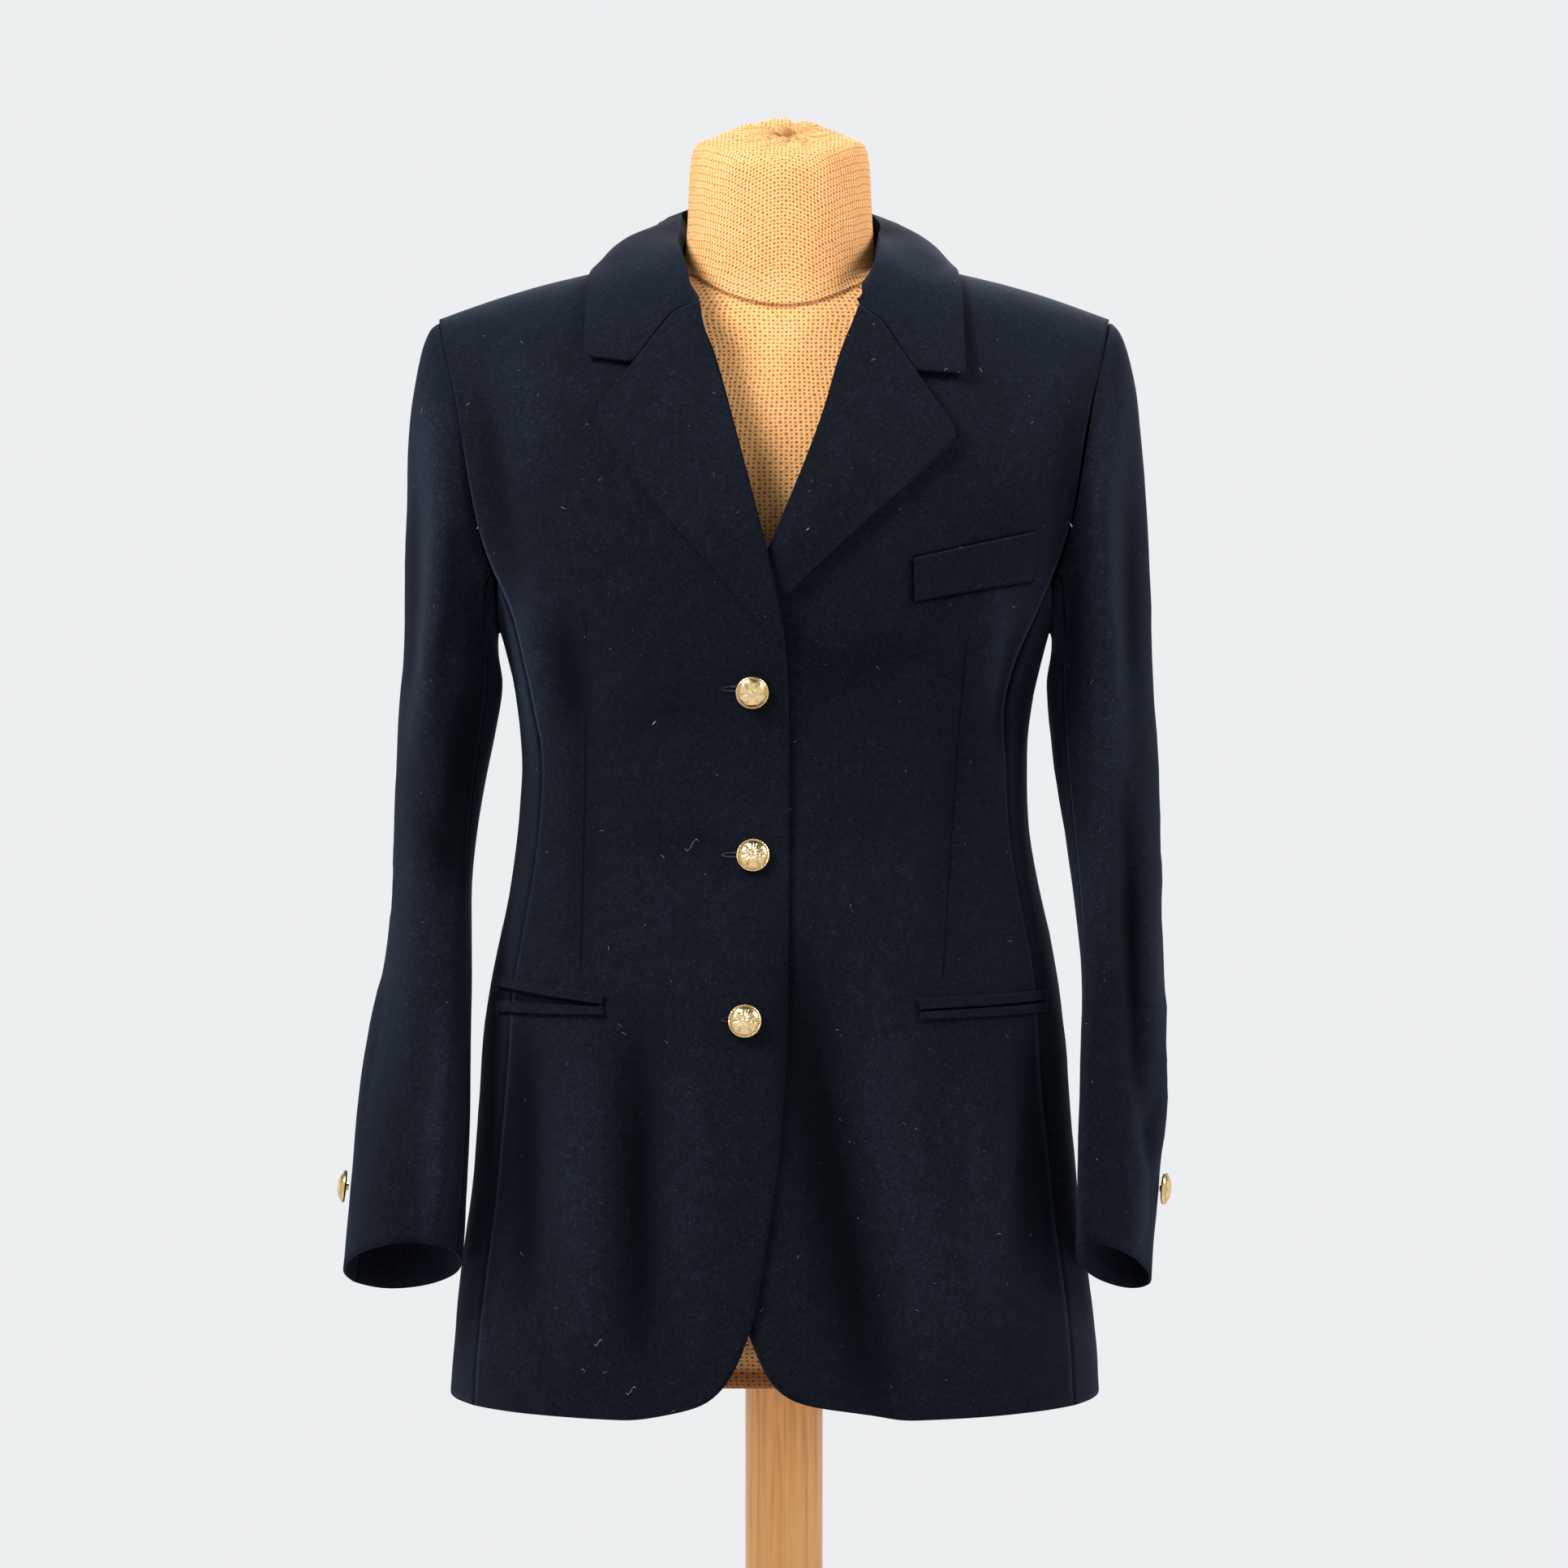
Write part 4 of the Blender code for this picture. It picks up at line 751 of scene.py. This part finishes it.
def lathe(name, profile, sides, place=Vector(), axis=Vector((0, 0, 1)), relief=None):
    # a turned piece from (radius, height) pairs; relief(radius, turn, height) raises its top
    side = axis.orthogonal().normalized()
    other = axis.cross(side)
    shape = bmesh.new()
    layer = shape.verts.layers.float.new("relief")
    rings = []
    for radius, height in profile:
        if radius == 0:
            centre = shape.verts.new(place + axis * height)
            centre[layer] = 1.0
            rings.append([centre] * sides)
            continue
        ring = []
        for j in range(sides):
            a = 2 * math.pi * j / sides
            raised = relief(radius, a, height) if relief else 0.0
            outward = side * math.cos(a) + other * math.sin(a)
            vertex = shape.verts.new(place + outward * radius + axis * (height + raised))
            vertex[layer] = 0.5 + raised / 0.0006
            ring.append(vertex)
        rings.append(ring)
    for low, high in zip(rings, rings[1:]):
        for j in range(sides):
            k = (j + 1) % sides
            corners = list(dict.fromkeys((low[j], low[k], high[k], high[j])))
            if len(corners) > 2:
                shape.faces.new(corners)
    bmesh.ops.recalc_face_normals(shape, faces=shape.faces)
    mesh = bpy.data.meshes.new(name)
    shape.to_mesh(mesh)
    shape.free()
    mesh.shade_smooth()
    mesh.set_sharp_from_angle(angle=math.radians(40))
    made = bpy.data.objects.new(name, mesh)
    bpy.context.scene.collection.objects.link(made)
    return made


# Buttons: each lathed on its solid's place and axis, with a plain struck rosette of leaves
buttonSettings = {"radius": 0.0103, "sides": 112, "petals": 6, "ropeTurns": 34, "relief": 0.00042}


def rosette(radius, turn, height):
    # a rope rim, a ring of leaves and a small boss, struck into the dome
    s = buttonSettings
    share = radius / s["radius"]
    if height < 0.003:
        return 0.0
    strands = 0.55 + 0.45 * math.sin(s["ropeTurns"] * turn + share * 30)
    rope = math.exp(-((share - 0.915) / 0.05) ** 2) * strands
    leaf = abs(math.cos(s["petals"] * turn / 2 + math.pi / 4))
    petals = smooth((leaf - 0.25) / 0.5) * smooth((0.76 - share) / 0.10) * smooth((share - 0.16) / 0.10)
    vein = math.exp(-((leaf - 1.0) / 0.03) ** 2)
    vein *= smooth((share - 0.25) / 0.1) * smooth((0.7 - share) / 0.1)
    inner = abs(math.sin(s["petals"] * turn / 2 + math.pi / 4))
    small = smooth((inner - 0.45) / 0.4) * smooth((0.46 - share) / 0.08) * smooth((share - 0.12) / 0.06)
    boss = smooth((0.15 - share) / 0.05)
    grain = 0.22 * noise.noise(Vector((math.cos(turn) * share * 9, math.sin(turn) * share * 9, 1.3)))
    return s["relief"] * (rope + 0.9 * petals - 0.5 * vein + 0.5 * small + boss + grain)


def buttonProfile():
    # shank, turned-under back, rim and dome
    r = buttonSettings["radius"]
    rows = [(0.0, 0.0), (0.22 * r, 0.0), (0.22 * r, 0.0015), (0.90 * r, 0.0018), (0.97 * r, 0.0022),
            (1.0 * r, 0.0027), (0.985 * r, 0.0033)]
    for k in range(40):
        share = 0.965 * (1 - k / 40)
        ledge = 0.0035 + 0.0004 * math.exp(-((share - 0.915) / 0.05) ** 2)
        dome = 0.0030 * math.sqrt(max(0.0, 1 - (share / 0.86) ** 2)) if share < 0.86 else 0.0
        rows.append((share * r, ledge + dome))
    rows.append((0.0, 0.0065))
    return rows


def buttonAxis(node, inside):
    # foot and axis of a button: the way its solid is thinnest, pointing away from inside
    points = numpy.array([vertex.co for vertex in node.data.vertices])
    middle = Vector(points.mean(axis=0))
    ways = numpy.linalg.eigh(numpy.cov((points - points.mean(axis=0)).T))[1]
    axis = Vector(ways[:, 0]).normalized()
    if axis.dot(middle - inside) < 0:
        axis = -axis
    low = min(Vector(p).dot(axis) for p in points)
    return middle + axis * (low - middle.dot(axis)), axis


def makeButtons(gold):
    made = []
    for name, node in sorted(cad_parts.items()):
        if not name.startswith("button_"):
            continue
        hand = name.split("_")[-1]
        height = sum(v.co.z for v in node.data.vertices) / len(node.data.vertices)
        onCuff = name.startswith("button_cuff")
        inside = Vector((*armCentreAt(hand, height), height)) if onCuff else Vector((0.0, 0.0, height))
        foot, axis = buttonAxis(node, inside)
        foot += sleeveFields(hand)[1](foot) if onCuff else bodyShift(foot)
        button = lathe(name + "_struck", buttonProfile(), buttonSettings["sides"], foot, axis, rosette)
        button.data.materials.append(gold)
        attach(button, "root")
        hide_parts(name)
        made.append(button)
    print("buttons ready", len(made))
    return made


# Stand: pole and base turned again, finer, with eased edges
standSettings = {
    "poleEdge": 0.0012, "poleSides": 96, "baseEdge": 0.006, "baseFoot": 0.002, "baseSides": 128,
}


def makeStand():
    s = standSettings
    sizes = {}
    for name in ("pole", "base"):
        points = [v.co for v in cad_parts[name].data.vertices]
        heights = [p.z for p in points]
        sizes[name] = (max(math.hypot(p.x, p.y) for p in points), min(heights), max(heights))
    radius, low, high = sizes["pole"]
    edge = s["poleEdge"]
    profile = ((0.0, low), (radius - edge, low), (radius, low + edge), (radius, low + 0.30),
               (radius, high - edge), (radius - edge, high), (0.0, high))
    pole = lathe("pole_turned", profile, s["poleSides"])
    radius, low, high = sizes["base"]
    edge, foot = s["baseEdge"], s["baseFoot"]
    profile = [(0.0, low), (radius - foot, low), (radius, low + foot)]
    for k in range(8, -1, -1):
        turn = k * math.pi / 16
        profile.append((radius - edge + edge * math.sin(turn), high - edge + edge * math.cos(turn)))
    profile += [(radius - 0.03, high), (0.0, high)]
    base = lathe("base_turned", profile, s["baseSides"])
    for made, node in ((pole, "pole"), (base, "base")):
        made.data.materials.append(woodMaterial(node))
        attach(made, "root")
        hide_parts(node)
    print("stand ready")


def tube(name, lines, radii, sides=5):
    # round threads along point lists, one mesh; radii is one size for each line
    verts, faces = [], []
    for line, size in zip(lines, radii):
        first = len(verts)
        for k, p in enumerate(line):
            ahead = (line[min(k + 1, len(line) - 1)] - line[max(k - 1, 0)]).normalized()
            side = ahead.orthogonal().normalized()
            other = ahead.cross(side)
            here = size * (0.35 if k in (0, len(line) - 1) else 1.0)   # thinner at both ends
            for j in range(sides):
                a = 2 * math.pi * j / sides
                verts.append(p + (side * math.cos(a) + other * math.sin(a)) * here)
        for k in range(len(line) - 1):
            for j in range(sides):
                a, b, n = first + k * sides, first + (k + 1) * sides, (j + 1) % sides
                faces.append((a + j, a + n, b + n, b + j))
        faces.append(tuple(first + j for j in reversed(range(sides))))
        faces.append(tuple(first + (len(line) - 1) * sides + j for j in range(sides)))
    mesh = bpy.data.meshes.new(name)
    mesh.from_pydata(verts, [], faces)
    mesh.shade_smooth()
    made = bpy.data.objects.new(name, mesh)
    bpy.context.scene.collection.objects.link(made)
    return made


def surfaceOf(pieces):
    # one search tree over several pieces
    verts, faces = [], []
    for piece in pieces:
        first = len(verts)
        verts += [vertex.co.copy() for vertex in piece.data.vertices]
        faces += [tuple(first + i for i in face.vertices) for face in piece.data.polygons]
    return BVHTree.FromPolygons(verts, faces)


# Turnings of the centre back seam, pressed open inside it, so that no light comes through
turningSettings = {"middle": -0.006, "low": -0.374, "high": 0.312, "rows": 80, "inside": 0.0026,
                   "across": (-0.009, -0.0015, 0.0015, 0.009)}


def makeSeamAllowance(cloth, wool):
    s = turningSettings
    surface = surfaceOf([cloth["back_right"], cloth["back_left"]])
    verts, faces = [], []
    for k in range(s["rows"]):
        z = waist + mix(s["low"], s["high"], k / (s["rows"] - 1))
        row = []
        for across in s["across"]:
            x = s["middle"] + across
            hit = surface.ray_cast(Vector((x, 1.0, z)), Vector((0, -1, 0)))[0]
            row.append(hit and Vector((x, hit.y - s["inside"], z)))
        if all(row):
            verts += row
    for k in range(len(verts) // 4 - 1):
        for j in range(3):
            a = 4 * k + j
            faces.append((a, a + 1, a + 5, a + 4))
    mesh = bpy.data.meshes.new("back_seam_allowance")
    mesh.from_pydata(verts, [], faces)
    mesh.materials.append(wool)
    mesh.shade_smooth()
    made = bpy.data.objects.new("back_seam_allowance", mesh)
    bpy.context.scene.collection.objects.link(made)
    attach(made, "root")
    print("seam turnings ready", len(faces))
    return made


# Worked buttonholes beside the front buttons: a slit, whipped with twist all round
holeSettings = {
    "heights": (0.0575, -0.0430, -0.1420), "length": 0.021, "width": 0.0026, "left": -0.0375,
    "thread": 0.00042, "points": 220, "whip": 0.00038, "whipTurn": 2.1, "proud": 0.00012, "over": 0.00020,
}


def makeButtonholes(surface, thread):
    s = holeSettings
    lines, radii = [], []
    for height in s["heights"]:
        loop = []
        for k in range(s["points"] + 1):
            turn = 2 * math.pi * k / s["points"]
            # straight sides with round ends, crossed by the whip of the thread
            along, up = math.cos(turn), math.sin(turn)
            along = s["length"] / 2 * math.copysign(min(1.0, abs(along) ** 0.55), along)
            up = s["width"] / 2 * math.copysign(abs(up) ** 0.8, up)
            whip = s["whip"] * math.sin(k * s["whipTurn"])
            x = s["left"] + s["length"] / 2 + along
            z = waist + height + up + whip * (1 if up >= 0 else -1)
            hit = surface.ray_cast(Vector((x, -1.0, z)), Vector((0, 1, 0)))[0]
            if hit:
                out = s["proud"] + s["over"] * math.cos(k * s["whipTurn"])
                loop.append(hit - Vector((0, out, 0)))
        lines.append(loop)
        radii.append(s["thread"])
    made = tube("buttonhole_stitches", lines, radii, 6)
    made.data.materials.append(thread)
    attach(made, "root")
    print("buttonholes ready", len(lines))
    return made


# Lint: pale shed fibres lying on the wool, more of them in front, and a few longer threads
lintSettings = {
    "seed": 11, "count": 270, "thick": 0.00008, "front": 0.62, "bend": 1.6, "proud": 0.00008,
    "lengths": (0.0007, 0.001, 0.0013, 0.002, 0.0034),
    # longer threads that show singly: across and over the waist, length, thickness
    "threads": ((-0.0790, 0.0372, 0.0022, 0.00030), (0.0142, 0.1529, 0.0016, 0.00024),
                (-0.1120, -0.3370, 0.0048, 0.00018), (-0.0920, -0.3650, 0.0062, 0.00016),
                (-0.0680, -0.3780, 0.0052, 0.00018), (-0.0560, -0.0370, 0.0090, 0.00012)),
    "threadProud": 0.0001,
}


def makeLint(surface, fibre):
    s = lintSettings
    dice = random.Random(s["seed"])
    lines, radii = [], []
    for _ in range(s["count"]):
        x, height = dice.uniform(-0.24, 0.23), dice.uniform(-0.37, 0.32)
        facing = -1 if dice.random() < s["front"] else 1
        heading = dice.uniform(0, 2 * math.pi)
        length = dice.choice(s["lengths"])
        bend = dice.uniform(-s["bend"], s["bend"])
        line = []
        for k in range(5):
            t = k / 4 - 0.5
            turn = heading + bend * t
            px = x + math.cos(turn) * length * t
            pz = waist + height + math.sin(turn) * length * t
            hit, normal = surface.ray_cast(Vector((px, facing * 1.0, pz)), Vector((0, -facing, 0)))[:2]
            if hit:
                line.append(hit + normal * s["proud"])
        # a fibre that falls across an edge is left out
        if len(line) == 5 and (line[0] - line[-1]).length < 0.006:
            lines.append(line)
            radii.append(s["thick"] * dice.uniform(0.6, 1.5))
    for x, height, length, thick in s["threads"]:
        line = []
        for k in range(6):
            t = k / 5 - 0.5
            start = Vector((x + length * t, -1.0, waist + height + 0.4 * length * math.sin(5 * t)))
            hit, normal = surface.ray_cast(start, Vector((0, 1, 0)))[:2]
            if hit:
                line.append(hit + normal * s["threadProud"])
        if len(line) == 6:
            lines.append(line)
            radii.append(thick)
    made = tube("lint", lines, radii, 4)
    made.data.materials.append(fibre)
    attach(made, "root")
    print("lint", len(lines))
    return made


def declareSheets(cloth):
    # goes through the cloth pieces, passing over the pocket jets, and does nothing with them
    for name, piece in cloth.items():
        if name.startswith("jet_"):
            continue


def main():
    makeStage()
    wool = woolMaterial()
    cloth = makeCloth(wool)
    form = makeForm(burlapMaterial())
    makeStand()
    makeButtons(goldMaterial())
    surface = surfaceOf(cloth.values())
    makeSeamAllowance(cloth, wool)
    makeButtonholes(surface, threadMaterial("navy_buttonhole_twist"))
    makeLint(surface, threadMaterial("pale_lint"))
    bpy.context.view_layer.update()
    declareSheets(cloth)


main()
